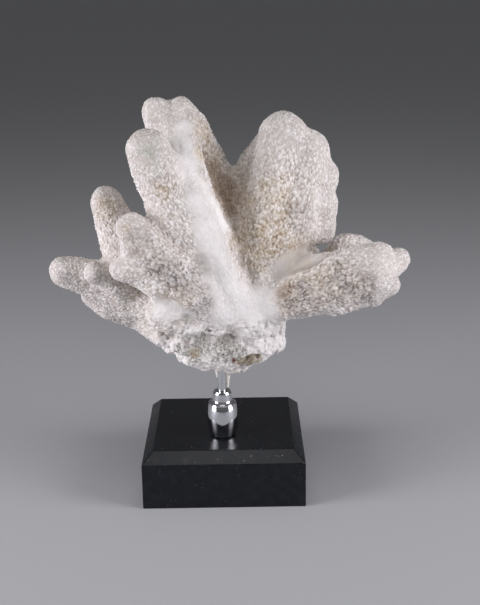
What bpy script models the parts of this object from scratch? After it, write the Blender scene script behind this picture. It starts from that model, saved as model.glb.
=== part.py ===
"""Cauliflower coral skeleton on a square black stand, in metres, +Z up.

The origin is the centre of the stand's underside. +X is the viewer's right, and the viewer
looks along +Y. The coral is made of rounded fingers: a finger is a few stations (x, y, z,
radius) along its middle line, and it is named by its tip. All the fingers are fused into one
surface, softened where they meet, given lumps and a broken foot, and then split at the main
forks into one solid for each branch. The foot has a hole for the rod and a hollow for the glue.
"""

import math

import bmesh
import bpy
import numpy as np

MM = 0.001
GAP = 0.3 * MM  # between neighbouring pieces

BASE_WIDTH = 100.0 * MM
BASE_HEIGHT = 35.5 * MM
BASE_CHAMFER = 6.8 * MM
BASE_EDGE_ROUND = 0.5 * MM

# The collar and the rod stand in front of the middle of the base.
ROD_X = -0.5 * MM
ROD_Y = -18.5 * MM
ROD_RADIUS = 2.75 * MM
ROD_TOP = 98.0 * MM
ROD_IN_COLLAR = 14.0 * MM
ROD_SIDES = 24

# The collar's outline above the base: radius and height, in millimetres, from its foot up.
COLLAR_OUTLINE = (
    (7.7, 0.0),
    (8.2, 0.5),
    (9.0, 4.0),
    (9.6, 8.0),
    (9.9, 12.2),
    (9.3, 17.5),
    (8.5, 21.4),
    (8.1, 22.1),
    (6.5, 22.4),
    (6.3, 23.0),
    (5.8, 28.0),
    (5.3, 29.0),
)
COLLAR_SIDES = 32

# Fingers of the coral: (x, y, z, radius) in millimetres, from the tip to the trunk.
FINGERS = {
    "upper_left": {
        "rear_left_tip": ((-37, 8, 235, 9.5), (-33, 8, 223, 10.5), (-26, 4, 206, 12), (-15, -4, 183, 14.5),
                          (-1, -12, 153, 16)),
        "rear_right_tip": ((-22, 10, 235, 9), (-15, 11, 223, 10), (-9, 12, 211, 10), (-4, 11, 199, 10.5),
                           (1, 8, 183, 12.5), (6, 0, 160, 13), (9, -8, 140, 13)),
        "front_tip": ((-40, -28, 217, 13.5), (-36, -30, 207, 14), (-31, -28, 194, 14), (-25, -26, 179, 17),
                      (-15, -25, 157, 18)),
        "front_ridge": ((-25, -22, 207, 7.5), (-17, -29, 190, 9.5), (-7, -33, 167, 10), (4, -33, 146, 11.5),
                        (10, -27, 124, 14)),
    },
    "left": {
        "thumb": ((-69, 2, 181, 10.5), (-65, 0, 170, 12), (-61, -4, 156, 12.5), (-53, -8, 142, 12.5),
                  (-34, -14, 131, 14.5), (-10, -18, 124, 16)),
        "knob": ((-51, -40, 174, 9.5), (-44, -38, 167, 12), (-33, -36, 154, 14.5), (-15, -34, 139, 16.5),
                 (1, -26, 126, 17)),
        "palm": ((-48, -42, 163, 9.5), (-40, -42, 158, 12), (-26, -40, 147, 14), (-8, -34, 132, 15.5)),
        "nose": ((-57, -44, 151, 8), (-47, -44, 150, 10), (-33, -42, 143, 12.5), (-17, -38, 133, 14),
                 (0, -28, 123, 17)),
    },
    "low_left": {
        "finger": ((-95, -14, 142, 10), (-83, -14, 139, 11), (-69, -14, 134, 13.5), (-50, -14, 126, 14.5),
                   (-28, -16, 118, 17), (-7, -18, 114, 18.5)),
        "little_knob": ((-74, -35, 147, 7.2), (-69, -31, 143, 7), (-59, -24, 135, 9.5)),
        "underside": ((-80, -8, 125, 7.5), (-67, -8, 120, 11.5), (-51, -8, 116, 13), (-35, -12, 111, 17),
                      (-13, -16, 107, 19.5)),
    },
    "right_blade": {
        "top_tip": ((39, 0, 220, 15.5), (35, -4, 199, 16), (28, -10, 176, 15), (21, -14, 152, 13.5),
                    (14, -16, 129, 13.5)),
        "left_flank": ((30, 10, 213, 10), (23, 11, 196, 13.5), (19, 8, 177, 15), (16, -2, 154, 13.5),
                       (13, -12, 131, 13.5)),
        "shoulder": ((54, 2, 210, 14), (48, -2, 191, 16), (38, -8, 169, 15), (27, -14, 146, 13.5),
                     (18, -16, 129, 13.5)),
        "right_tip": ((60, 4, 194, 13.5), (52, 0, 181, 14), (41, -6, 163, 14), (28, -14, 144, 13)),
        "right_low": ((61, 4, 176, 12.5), (53, 0, 170, 13), (42, -6, 159, 13), (29, -12, 144, 12)),
        "right_toe": ((61, 4, 164, 10.5), (52, 0, 163, 10.5), (42, -6, 156, 10.5), (29, -12, 142, 11)),
        "valley": ((8, 10, 190, 10.5), (10, 4, 178, 12.5), (12, -4, 158, 14.5), (13, -12, 134, 14.5)),
    },
    "low_right": {
        "middle": ((87, -32, 146, 15), (77, -32, 141, 18), (62, -32, 136, 19), (45, -30, 131, 17),
                   (27, -24, 124, 14.5), (12, -18, 118, 15)),
        "top_knob": ((95, -30, 153, 9), (84, -30, 147, 12), (71, -30, 141, 14.5)),
        "rear_knob": ((108, -12, 145, 8.2), (98, -18, 143, 10.5), (85, -26, 142, 13)),
        "end_knob": ((99, -36, 136, 7.7), (90, -36, 137, 10.5), (77, -34, 136, 13)),
        "under_knob": ((91, -34, 129, 6.5), (80, -34, 131, 10.5), (68, -32, 130, 14.5)),
        "second_ridge": ((81, -8, 146, 5.5), (68, -10, 140, 8.5), (51, -14, 135, 11.5),
                         (33, -18, 128, 13.5)),
    },
    "rear_right": {
        "far_knob": ((96, 30, 140, 7.8), (88, 30, 142, 9.4), (78, 28, 141, 8.4), (67, 24, 131, 8.4),
                     (50, 16, 128, 10), (31, 4, 126, 12.5), (15, -8, 124, 13.5)),
        "saddle": ((54, 18, 137, 8.3), (44, 12, 135, 9.5), (31, 4, 131, 11.5)),
    },
    "back_left": {
        "tall": ((-22, 46, 181, 11), (-19, 42, 168, 13), (-11, 30, 150, 14), (1, 8, 132, 15),
                 (8, -10, 124, 15)),
        "wide": ((-37, 52, 148, 10.5), (-29, 44, 141, 12), (-15, 26, 132, 14), (2, 0, 125, 15)),
        "low": ((-47, 36, 125, 9), (-35, 28, 123, 11), (-15, 10, 121, 14), (4, -10, 120, 15)),
    },
    "back_right": {
        "tall": ((45, 44, 188, 11.5), (42, 40, 173, 13.5), (33, 24, 152, 14), (19, 0, 134, 15),
                 (13, -12, 125, 13.5)),
        "fan": ((60, 48, 166, 10), (51, 40, 156, 11.5), (39, 26, 145, 13), (23, 2, 130, 13.5)),
    },
    "back": {
        "long": ((9, 82, 132, 12), (11, 66, 128, 13), (11, 40, 123, 14.5), (9, 12, 120, 16.5)),
        "side": ((27, 68, 120, 9.5), (21, 52, 119, 11.5), (14, 26, 118, 14.5)),
        "stub": ((-6, 72, 124, 9), (0, 54, 122, 10.5), (7, 28, 119, 13)),
    },
    "holdfast": {
        "trunk": ((8, -14, 122, 21), (6, -14, 109, 23.5), (5, -14, 100, 22.5), (4, -14, 94, 17.5)),
        "rear_fill": ((-16, 2, 140, 13), (-4, -6, 128, 17)),
        "left_ledge": ((-35, -37, 120, 9), (-23, -37, 118, 11.5), (-6, -29, 112, 13.5)),
        "left_skirt": ((-34, -24, 103, 8.5), (-23, -24, 100, 11), (-7, -22, 99, 14.5)),
        "front_block": ((-21, -34, 97, 9), (-10, -34, 96, 11), (2, -30, 95, 11)),
        "right_block": ((28, -18, 97, 11), (17, -20, 97, 15), (5, -20, 97, 17)),
        "right_spike": ((40, -16, 102, 3), (35, -16, 101, 6), (25, -16, 99, 10)),
        "right_shoulder": ((32, -18, 107, 7.5), (22, -18, 108, 12)),
        "low_lump": ((11, -10, 80, 7), (7, -14, 87, 11)),
        "rear_block": ((6, 12, 93, 13), (6, 0, 94, 19)),
    },
}

# A fork site is (x, y, z, reach) in millimetres. Each branch takes the points whose squared
# distance from its site, less its reach squared, is the least, so every cut is a plane.
FORK_SITES = {
    "coral_holdfast": (6, -14, 98, 34),
    "coral_upper_left_branch": (-12, -12, 166, 0),
    "coral_left_branch": (-36, -22, 148, 0),
    "coral_low_left_branch": (-54, -14, 122, 0),
    "coral_right_blade": (40, 0, 168, 0),
    "coral_low_right_branch": (50, -26, 142, 0),
    "coral_rear_right_branch": (50, 18, 127, 0),
    "coral_back_left_branch": (-20, 28, 136, 0),
    "coral_back_right_branch": (36, 34, 158, 0),
    "coral_back_branch": (9, 42, 122, 0),
}

TUBE_SIDES = 16
RINGS_PER_SPAN = 6
END_RINGS = 4
LAST_RING_ANGLE = math.radians(89.0)  # of a dome; its small flat cap closes the rest
MOSTLY_ALONG_Y = 0.7  # a finger that runs along Y more than this measures its rings from Z
VOXEL = 1.9 * MM
SMOOTHING_ROUNDS = 10
SWELL = 0.8 * MM  # gives back what the smoothing takes, and covers the warts' height
SKIN_SHARE = 0.25  # of the triangles, before the split
BRANCH_SHARE = 0.3  # of the triangles, after it
CUT_TOLERANCE = 0.0001 * MM

LUMP_HEIGHT = 0.55 * MM
LUMP_LENGTH = 15.0 * MM
LUMP_SEED = 3
CRAG_HEIGHT = 1.3 * MM
CRAG_LENGTH = 9.0 * MM
CRAG_SEED = 5
WAVES_IN_NOISE = 10
NOISE_PEAK = 1.5  # standard waves add up to about this many times their root mean square

# The broken foot: below this height, and this near to its axis, the coral is rough stone.
FOOT_TOP = 119.0 * MM
FOOT_FADE = 9.0 * MM
FOOT_AXIS = (2.0 * MM, -14.0 * MM)
FOOT_RADIUS = 44.0 * MM
FOOT_EDGE = 4.0 * MM  # half the width over which the foot ends sideways

# Ledges in the foot, in millimetres: the height of the overhanging edge, where along X it runs
# from and to, and how deep the stone is eaten away under it.
LEDGES = (
    (108, -42, 9, 3.4),
    (92, 4, 34, 3.0),
    (116, -44, -14, 1.6),
)
LEDGE_FADE = 8.0 * MM  # the height over which the hollow under a ledge runs out
LEDGE_EDGE = 1.6 * MM
LEDGE_END = 3.0 * MM  # half the width over which a ledge ends sideways
LEDGE_SEED = 7

# Dents in the foot: place, radius and depth, in millimetres. A negative depth is a spur.
FOOT_DENTS = (
    (-17, -46, 121, 5.0, 2.5),
    (-25, -46, 101, 4.5, 2.0),
    (-30, -32, 93, 5.0, 2.0),
    (30, -24, 90, 5.0, 2.0),
    (20, 8, 84, 6.0, 2.5),
    (-12, 4, 86, 6.0, 2.5),
    (-24, -6, 96, 6.0, 2.5),
    (44, -16, 102, 5.0, -3.0),
    (-38, -30, 100, 5.0, -1.5),
)

# The glue round the rod: (x, y, z, radius) in millimetres, in the same way as the fingers.
GLUE = {
    "collar": ((-1, -18.5, 82, 6.5), (1, -18.5, 79.5, 6.0)),
    "right_lobe": ((7, -19, 79.5, 3.6), (2, -18.5, 80, 4.5)),
    "drip": ((2.2, -17.0, 67.2, 1.2), (2.2, -17.2, 71, 2.0), (1.0, -18, 77, 4.5)),
    "left_drip": ((-3.0, -17.6, 74, 1.2), (-2.4, -18, 78, 3.5)),
}
GLUE_VOXEL = 0.7 * MM
GLUE_SMOOTHING = 6
GLUE_SHARE = 0.08

# An edge stays sharp to the eye where its faces turn by more than this.
CORAL_SHARP_DEGREES = 60.0
STAND_SHARP_DEGREES = 30.0


def remove_all_objects():
    """Empties the scene."""
    for thing in list(bpy.data.objects):
        bpy.data.objects.remove(thing, do_unlink=True)


def finish_material(name, colour, roughness, metallic=0.0):
    """A plain surface finish: linear colour, roughness and metallic value."""
    material = bpy.data.materials.new(name)
    material.use_nodes = True
    shader = material.node_tree.nodes["Principled BSDF"]
    shader.inputs["Base Color"].default_value = (*colour, 1.0)
    shader.inputs["Roughness"].default_value = roughness
    shader.inputs["Metallic"].default_value = metallic
    return material


def object_from(name, mesh, material=None):
    """Puts a mesh into the scene as a named object."""
    thing = bpy.data.objects.new(name, mesh)
    bpy.context.scene.collection.objects.link(thing)
    if material is not None:
        mesh.materials.clear()
        mesh.materials.append(material)
    return thing


def mesh_from(name, points, faces):
    """A mesh from an array of points and a list or array of faces."""
    mesh = bpy.data.meshes.new(name)
    mesh.from_pydata(np.asarray(points).tolist(), [], [list(face) for face in faces])
    mesh.validate()
    return mesh


def shade_round(mesh, sharp_degrees=STAND_SHARP_DEGREES):
    """Smooth shading that keeps the real edges sharp."""
    mesh.shade_smooth()
    mesh.set_sharp_from_angle(angle=math.radians(sharp_degrees))


def unit(vectors):
    """The same directions with length 1."""
    return vectors / np.maximum(np.linalg.norm(vectors, axis=-1, keepdims=True), 1e-12)


def smooth_path(stations):
    """Points and radii on a Catmull-Rom curve through a finger's stations."""
    rows = np.array(stations, float) * MM
    rows = np.vstack((2 * rows[0] - rows[1], rows, 2 * rows[-1] - rows[-2]))
    t = np.arange(RINGS_PER_SPAN)[:, None] / RINGS_PER_SPAN
    spans = []
    for a, b, c, d in zip(rows, rows[1:], rows[2:], rows[3:]):
        bend = 2 * a - 5 * b + 4 * c - d
        twist = 3 * b - a - 3 * c + d
        spans.append(0.5 * (2 * b + (c - a) * t + bend * t**2 + twist * t**3))
    path = np.vstack(spans + [rows[-2:-1]])
    return path[:, :3], path[:, 3]


def finger_surface(stations, extra=0.0):
    """A round tube along the stations with a dome on each end, as points and quads.

    Each ring lies square to the path. The domes add rings of radius r cos(a), pushed out by
    r sin(a), for angles a up to just under 90 degrees. The extra radius makes clearance.
    """
    centres, radii = smooth_path(stations)
    radii = radii + extra
    tangents = unit(np.gradient(centres, axis=0))
    angles = np.linspace(0, math.pi / 2, END_RINGS + 2)[1:-1]
    angles = np.append(angles, LAST_RING_ANGLE)
    first = centres[0] - tangents[0] * (radii[0] * np.sin(angles[::-1]))[:, None]
    last = centres[-1] + tangents[-1] * (radii[-1] * np.sin(angles))[:, None]
    all_centres = np.vstack((first, centres, last))
    all_radii = np.concatenate((radii[0] * np.cos(angles[::-1]), radii, radii[-1] * np.cos(angles)))
    repeats = np.concatenate(([0] * len(angles), np.arange(len(radii)), [len(radii) - 1] * len(angles)))
    axis = tangents[repeats]
    run = unit(centres[-1] - centres[0])
    guide = (0.0, 0.0, 1.0) if abs(run[1]) > MOSTLY_ALONG_Y else (0.0, 1.0, 0.0)
    side = unit(np.cross(axis, guide))
    up = np.cross(side, axis)
    turn = np.arange(TUBE_SIDES) * 2 * math.pi / TUBE_SIDES
    ring = side[:, None] * np.cos(turn)[None, :, None] + up[:, None] * np.sin(turn)[None, :, None]
    points = (all_centres[:, None] + all_radii[:, None, None] * ring).reshape(-1, 3)
    rings = len(all_centres)
    k, j = np.meshgrid(np.arange(rings - 1), np.arange(TUBE_SIDES), indexing="ij")
    here = k * TUBE_SIDES + j
    after = k * TUBE_SIDES + (j + 1) % TUBE_SIDES
    quads = np.stack((here, here + TUBE_SIDES, after + TUBE_SIDES, after), -1).reshape(-1, 4)
    start_cap = np.arange(TUBE_SIDES)
    end_cap = np.arange(rings * TUBE_SIDES - 1, (rings - 1) * TUBE_SIDES - 1, -1)
    return points, quads.tolist() + [start_cap.tolist(), end_cap.tolist()]


def fingers_mesh(name, fingers, extra=0.0):
    """All of these fingers as closed tubes in one mesh, still crossing one another."""
    all_points = []
    all_faces = []
    count = 0
    for stations in fingers:
        points, faces = finger_surface(stations, extra)
        all_points.append(points)
        all_faces += [[index + count for index in face] for face in faces]
        count += len(points)
    return mesh_from(name, np.vstack(all_points), all_faces)


def evaluated_mesh(thing):
    """A new mesh of the object with its modifiers applied."""
    graph = bpy.context.evaluated_depsgraph_get()
    return bpy.data.meshes.new_from_object(thing.evaluated_get(graph))


def fused_mesh(name, mesh, voxel, rounds):
    """Joins crossing tubes into one skin of voxel-sized quads and softens their creases."""
    thing = object_from(name, mesh)
    remesh = thing.modifiers.new("fuse", "REMESH")
    remesh.mode = "VOXEL"
    remesh.voxel_size = voxel
    soften = thing.modifiers.new("soften", "SMOOTH")
    soften.factor = 0.5
    soften.iterations = rounds
    fused = evaluated_mesh(thing)
    bpy.data.objects.remove(thing, do_unlink=True)
    return fused


def reduced_mesh(name, mesh, share):
    """The same shape with about this share of its triangles."""
    thing = object_from(name, mesh)
    decimate = thing.modifiers.new("reduce", "DECIMATE")
    decimate.ratio = share
    reduced = evaluated_mesh(thing)
    bpy.data.objects.remove(thing, do_unlink=True)
    return reduced


def points_of(mesh):
    """The mesh's vertex places as an array."""
    values = np.empty(len(mesh.vertices) * 3)
    mesh.vertices.foreach_get("co", values)
    return values.reshape(-1, 3)


def normals_of(mesh):
    """The mesh's vertex normals as an array."""
    values = np.empty(len(mesh.vertices) * 3, np.float32)
    mesh.vertex_normals.foreach_get("vector", values)
    return values.reshape(-1, 3).astype(float)


def ramp(value, low, high):
    """0 at low, 1 at high, and an S-shaped rise between them."""
    t = np.clip((value - low) / (high - low), 0.0, 1.0)
    return t * t * (3 - 2 * t)


def waves(points, length, seed):
    """Soft noise from about -1 to 1: sine waves of about this length, summed in many directions."""
    random = np.random.default_rng(seed)
    directions = unit(random.normal(size=(WAVES_IN_NOISE, 3)))
    lengths = length * random.uniform(0.7, 1.4, WAVES_IN_NOISE)
    phases = random.uniform(0, 2 * math.pi, WAVES_IN_NOISE)
    total = np.sin(points @ (directions * (2 * math.pi / lengths)[:, None]).T + phases).sum(1)
    return total / math.sqrt(WAVES_IN_NOISE) / NOISE_PEAK


def foot_share(points):
    """1 on the broken foot, 0 on the living branches."""
    from_axis = np.hypot(points[:, 0] - FOOT_AXIS[0], points[:, 1] - FOOT_AXIS[1])
    low = 1 - ramp(points[:, 2], FOOT_TOP - FOOT_FADE, FOOT_TOP)
    return low * (1 - ramp(from_axis, FOOT_RADIUS - FOOT_EDGE, FOOT_RADIUS + FOOT_EDGE))


def relief(points):
    """How far the skin stands out at each point: soft lumps, and crags on the foot.

    Under each ledge the foot is eaten away at once below the edge, and less and less further
    down. Each dent is a round bowl.
    """
    foot = foot_share(points)
    height = LUMP_HEIGHT * waves(points, LUMP_LENGTH, LUMP_SEED) * (1 - foot)
    ridged = 1 - 2 * np.abs(waves(points, CRAG_LENGTH, CRAG_SEED))
    height += CRAG_HEIGHT * ridged * foot
    for edge, start, end, depth in LEDGES:
        below = edge * MM - points[:, 2] + LEDGE_EDGE * waves(points, CRAG_LENGTH, LEDGE_SEED)
        eaten = ramp(below, -LEDGE_EDGE / 2, LEDGE_EDGE / 2)
        eaten *= 1 - ramp(below, LEDGE_EDGE / 2, LEDGE_FADE)
        middle, half = (start + end) / 2 * MM, (end - start) / 2 * MM
        eaten *= 1 - ramp(np.abs(points[:, 0] - middle), half - LEDGE_END, half + LEDGE_END)
        height -= depth * MM * eaten * foot
    for x, y, z, radius, depth in FOOT_DENTS:
        away = np.linalg.norm(points - np.array((x, y, z)) * MM, axis=1) / (radius * MM)
        height -= depth * MM * np.clip(1 - away**2, 0, None) ** 1.5
    return height


def coral_skin():
    """The whole coral as one fused mesh with its relief, before it is split."""
    fingers = [stations for branch in FINGERS.values() for stations in branch.values()]
    skin = fused_mesh("coral", fingers_mesh("coral_tubes", fingers), VOXEL, SMOOTHING_ROUNDS)
    points = points_of(skin)
    points += normals_of(skin) * (SWELL + relief(points))[:, None]
    skin.vertices.foreach_set("co", points.ravel())
    skin.update()
    return reduced_mesh("coral", skin, SKIN_SHARE)


def close_cut(solid):
    """Fills the flat holes that a cut left, and makes triangles of the fillings."""
    edges = [edge for edge in solid.edges if edge.is_boundary]
    if edges:
        filled = bmesh.ops.holes_fill(solid, edges=edges, sides=0)
        bmesh.ops.triangulate(solid, faces=filled["faces"])


def fork_plane(name, other_name):
    """The cut between two branches: a point on it, and the direction towards the other."""
    *own, own_reach = np.array(FORK_SITES[name]) * MM
    *other, other_reach = np.array(FORK_SITES[other_name]) * MM
    between = np.subtract(other, own)
    distance = np.linalg.norm(between)
    away = between / distance
    along = (distance**2 + own_reach**2 - other_reach**2) / (2 * distance)
    return own + away * along, away


def branch_mesh(skin, name):
    """The part of the skin inside every cut between this branch and another, closed there.

    Each cut is moved back by half the gap.
    """
    solid = bmesh.new()
    solid.from_mesh(skin)
    for other_name in FORK_SITES:
        if other_name == name:
            continue
        place, away = fork_plane(name, other_name)
        place = place - away * GAP / 2
        bmesh.ops.bisect_plane(
            solid,
            geom=solid.verts[:] + solid.edges[:] + solid.faces[:],
            dist=CUT_TOLERANCE,
            plane_co=place,
            plane_no=away,
            clear_outer=True,
        )
        close_cut(solid)
    bmesh.ops.recalc_face_normals(solid, faces=solid.faces[:])
    mesh = bpy.data.meshes.new(name)
    solid.to_mesh(mesh)
    solid.free()
    return reduced_mesh(name, mesh, BRANCH_SHARE)


def turned_mesh(name, outline, sides):
    """An outline of (radius, height) turned round the rod's axis; both of its ends have radius 0."""
    profile = np.array(outline, float)
    turn = np.arange(sides) * 2 * math.pi / sides
    around = np.stack((np.cos(turn), np.sin(turn)), -1)
    rings = profile[1:-1]
    flat = rings[:, None, :1] * around[None]
    heights = np.broadcast_to(rings[:, None, 1:], flat.shape[:2] + (1,))
    points = np.concatenate((flat, heights), -1).reshape(-1, 3)
    points = np.vstack((points, (0, 0, profile[0, 1]), (0, 0, profile[-1, 1])))
    points += np.array((ROD_X, ROD_Y, 0.0))
    k, j = np.meshgrid(np.arange(len(rings) - 1), np.arange(sides), indexing="ij")
    here = k * sides + j
    after = k * sides + (j + 1) % sides
    faces = np.stack((here, after, after + sides, here + sides), -1).reshape(-1, 4).tolist()
    low, high = len(rings) * sides, len(rings) * sides + 1
    last = (len(rings) - 1) * sides
    for j in range(sides):
        after = (j + 1) % sides
        faces.append([low, after, j])
        faces.append([high, last + j, last + after])
    return mesh_from(name, points, faces)


def cut_away(thing, cutter_mesh):
    """Takes the cutter's volume out of the object for good."""
    cutter = object_from("cutter", cutter_mesh)
    cut = thing.modifiers.new("cut", "BOOLEAN")
    cut.operation = "DIFFERENCE"
    cut.solver = "EXACT"
    cut.object = cutter
    result = evaluated_mesh(thing)
    thing.modifiers.remove(cut)
    thing.data = result
    bpy.data.objects.remove(cutter, do_unlink=True)


def rod_bar(extra_radius=0.0, bottom=0.0, top=ROD_TOP, name="rod"):
    """A straight round bar on the rod's axis."""
    radius = ROD_RADIUS + extra_radius
    outline = ((0, bottom), (radius, bottom), (radius, top), (0, top))
    return turned_mesh(name, outline, ROD_SIDES)


def glue_mesh(extra=0.0):
    """The glue round the rod as one lump. The extra radius makes the hollow it sits in."""
    tubes = fingers_mesh("glue_tubes", GLUE.values(), extra)
    lump = fused_mesh("glue", tubes, GLUE_VOXEL, GLUE_SMOOTHING)
    return reduced_mesh("glue", lump, GLUE_SHARE)


def add_coral(material):
    """The coral's branches, each closed at its forks, with the foot hollowed for rod and glue."""
    skin = coral_skin()
    for name in FORK_SITES:
        branch = object_from(name, branch_mesh(skin, name), material)
        if name == "coral_holdfast":
            cut_away(branch, glue_mesh(GAP))
            cut_away(branch, rod_bar(GAP, 0.0, ROD_TOP + GAP, "rod_hole"))
        shade_round(branch.data, CORAL_SHARP_DEGREES)


def add_glue(material):
    """The glue, with the rod's hole right through it."""
    glue = object_from("glue_bead", glue_mesh(), material)
    cut_away(glue, rod_bar(GAP, 0.0, ROD_TOP, "rod_hole"))
    shade_round(glue.data, CORAL_SHARP_DEGREES)


def collar_bottom():
    """The height at which the collar stands, just clear of the base."""
    return BASE_HEIGHT + GAP


def add_rod(material):
    """The bright rod, from the hole in the collar up into the coral's foot."""
    foot = collar_bottom() + COLLAR_OUTLINE[-1][1] * MM - ROD_IN_COLLAR
    rod = object_from("rod", rod_bar(0.0, foot, ROD_TOP), material)
    shade_round(rod.data)


def add_collar(material):
    """The turned collar, with the rod's blind hole in its top."""
    bottom = collar_bottom()
    top = bottom + COLLAR_OUTLINE[-1][1] * MM
    hole_floor = top - ROD_IN_COLLAR - GAP
    hole = ROD_RADIUS + GAP
    outer = [(radius * MM, bottom + height * MM) for radius, height in COLLAR_OUTLINE]
    outline = [(0.0, bottom)] + outer + [(hole, top), (hole, hole_floor), (0.0, hole_floor)]
    collar = object_from("collar", turned_mesh("collar", outline, COLLAR_SIDES), material)
    shade_round(collar.data)


def add_base(material):
    """The square block, with a wide chamfer round its top and its other edges just eased."""
    solid = bmesh.new()
    bmesh.ops.create_cube(solid, size=1.0)
    bmesh.ops.scale(solid, vec=(BASE_WIDTH, BASE_WIDTH, BASE_HEIGHT), verts=solid.verts)
    bmesh.ops.translate(solid, vec=(0, 0, BASE_HEIGHT / 2), verts=solid.verts)
    half_way = BASE_HEIGHT / 2
    top_edges = [edge for edge in solid.edges if all(corner.co.z > half_way for corner in edge.verts)]
    bmesh.ops.bevel(solid, geom=top_edges, offset=BASE_CHAMFER, segments=1, affect="EDGES")
    mesh = bpy.data.meshes.new("base")
    solid.to_mesh(mesh)
    solid.free()
    base = object_from("base", mesh, material)
    ease = base.modifiers.new("eased_edges", "BEVEL")
    ease.width = BASE_EDGE_ROUND
    ease.segments = 2
    ease.limit_method = "ANGLE"
    ease.angle_limit = math.radians(STAND_SHARP_DEGREES)
    shade_round(base.data)


def build():
    """Makes every piece of the object."""
    remove_all_objects()
    add_base(finish_material("black_painted_wood", (0.006, 0.006, 0.007), 0.45))
    chrome = finish_material("chrome_plate", (0.72, 0.72, 0.74), 0.08, 1.0)
    add_collar(chrome)
    add_rod(chrome.copy())
    add_glue(finish_material("white_glue", (0.78, 0.76, 0.72), 0.5))
    add_coral(finish_material("bleached_coral", (0.80, 0.77, 0.73), 0.9))


build()
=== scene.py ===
# %% [markdown]
# # A bleached cauliflower coral on a small stand
# The coral is the bare skeleton of a branching colony. It is made of blunt fingers that grow out
# of one trunk, and every finger is covered with small warts. Its broken foot is glued on a bright
# rod, and the rod stands in a turned collar on a square black block. The model loads as a fixed
# frame in metres, +Z up, with its origin under the middle of the block. Each surface that is made
# here stands for one node of that frame.

# %% Load the frame
import itertools
import math

import bpy
import numpy as np
from mathutils import Matrix, Vector
from mathutils.geometry import delaunay_2d_cdt


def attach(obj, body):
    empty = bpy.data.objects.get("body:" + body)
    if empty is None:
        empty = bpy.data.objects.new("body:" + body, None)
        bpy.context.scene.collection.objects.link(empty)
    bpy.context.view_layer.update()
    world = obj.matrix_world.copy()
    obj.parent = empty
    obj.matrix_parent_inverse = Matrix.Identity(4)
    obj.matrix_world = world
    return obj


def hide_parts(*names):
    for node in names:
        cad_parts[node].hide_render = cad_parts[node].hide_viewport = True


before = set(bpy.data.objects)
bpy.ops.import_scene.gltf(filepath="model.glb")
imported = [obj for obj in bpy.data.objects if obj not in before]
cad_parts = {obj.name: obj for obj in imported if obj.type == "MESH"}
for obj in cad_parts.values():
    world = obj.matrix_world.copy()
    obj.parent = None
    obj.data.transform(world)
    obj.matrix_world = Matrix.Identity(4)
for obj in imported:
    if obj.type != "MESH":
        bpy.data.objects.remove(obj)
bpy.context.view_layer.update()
MM = 0.001
print("nodes:", sorted(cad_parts))

# %% [markdown]
# ## The camera
# The camera could be placed by eye. Here the corners of the square block fixed it instead: a
# block of known shape gives the distance, the height and the focal length, so that everything
# else can be measured. It looks along +Y and about 17 degrees down.

# %% Place the camera
PHOTO_SIZE = (480, 605)
SENSOR = 36.0
FOCAL_PIXELS = 1136.9
CAMERA_YAW, CAMERA_PITCH, CAMERA_ROLL = (math.radians(angle) for angle in (0.04, 16.76, -0.95))
CAMERA_TARGET = np.array((11.55, 0.0, 116.3)) * MM
CAMERA_DISTANCE = 712.5 * MM


def camera_matrix():
    """The camera's axes: back from the target, right and up, the last two turned by the roll."""
    yaw, pitch, roll = CAMERA_YAW, CAMERA_PITCH, CAMERA_ROLL
    back = np.array((math.sin(yaw) * math.cos(pitch), -math.cos(yaw) * math.cos(pitch), math.sin(pitch)))
    right = np.array((math.cos(yaw), math.sin(yaw), 0.0))
    up = np.cross(back, right)
    turned_right = right * math.cos(roll) + up * math.sin(roll)
    turned_up = up * math.cos(roll) - right * math.sin(roll)
    place = CAMERA_TARGET + back * CAMERA_DISTANCE
    rows = np.eye(4)
    rows[:3] = np.stack((turned_right, turned_up, back, place), 1)
    return Matrix(rows.tolist())


camera = bpy.data.objects.new("camera", bpy.data.cameras.new("camera"))
bpy.context.scene.collection.objects.link(camera)
camera.data.sensor_width = SENSOR
camera.data.lens = SENSOR * FOCAL_PIXELS / PHOTO_SIZE[1]
camera.matrix_world = camera_matrix()
bpy.context.scene.camera = camera
print("lens in mm:", round(camera.data.lens, 1))

# %% [markdown]
# ## Helpers for shapes
# A surface is an array of points and an array of faces. These helpers are the few pieces of
# arithmetic that every shape below shares: directions of length one, an S-shaped step and soft
# noise. The noise is a sum of sine waves in many directions, because it needs no table and has
# one value at a point whatever mesh asks.


# %% Directions, steps and noise
def unit(vectors):
    """The same directions with length 1."""
    return vectors / np.maximum(np.linalg.norm(vectors, axis=-1, keepdims=True), 1e-12)


def ramp(value, low, high):
    """0 at low, 1 at high, and the S-curve 3t^2 - 2t^3 between them."""
    t = np.clip((value - low) / (high - low), 0.0, 1.0)
    return t * t * (3 - 2 * t)


def faded(share, end):
    """1 where the share is 0, end where it is 1, and evenly between them."""
    return 1 + (end - 1) * share


WAVES_IN_NOISE = 10
WAVE_LENGTHS = (0.7, 1.4)  # over the noise's own length
NOISE_PEAK = 1.5


def waves(points, length, seed):
    """Soft noise from about -1 to 1: sine waves of about this length, summed in many directions."""
    random = np.random.default_rng(seed)
    directions = unit(random.normal(size=(WAVES_IN_NOISE, 3)))
    lengths = length * random.uniform(*WAVE_LENGTHS, WAVES_IN_NOISE)
    phases = random.uniform(0, 2 * math.pi, WAVES_IN_NOISE)
    total = np.sin(points @ (directions * (2 * math.pi / lengths)[:, None]).T + phases).sum(1)
    return total / math.sqrt(WAVES_IN_NOISE) / NOISE_PEAK


print("noise at three points:", waves(np.eye(3), 1.0, 1).round(2))

# %% [markdown]
# Fingers, collar and block are all rings of points along a line. A spline object could carry
# them, but then the points would be out of reach of the arithmetic, so a curve is an array too.


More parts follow.
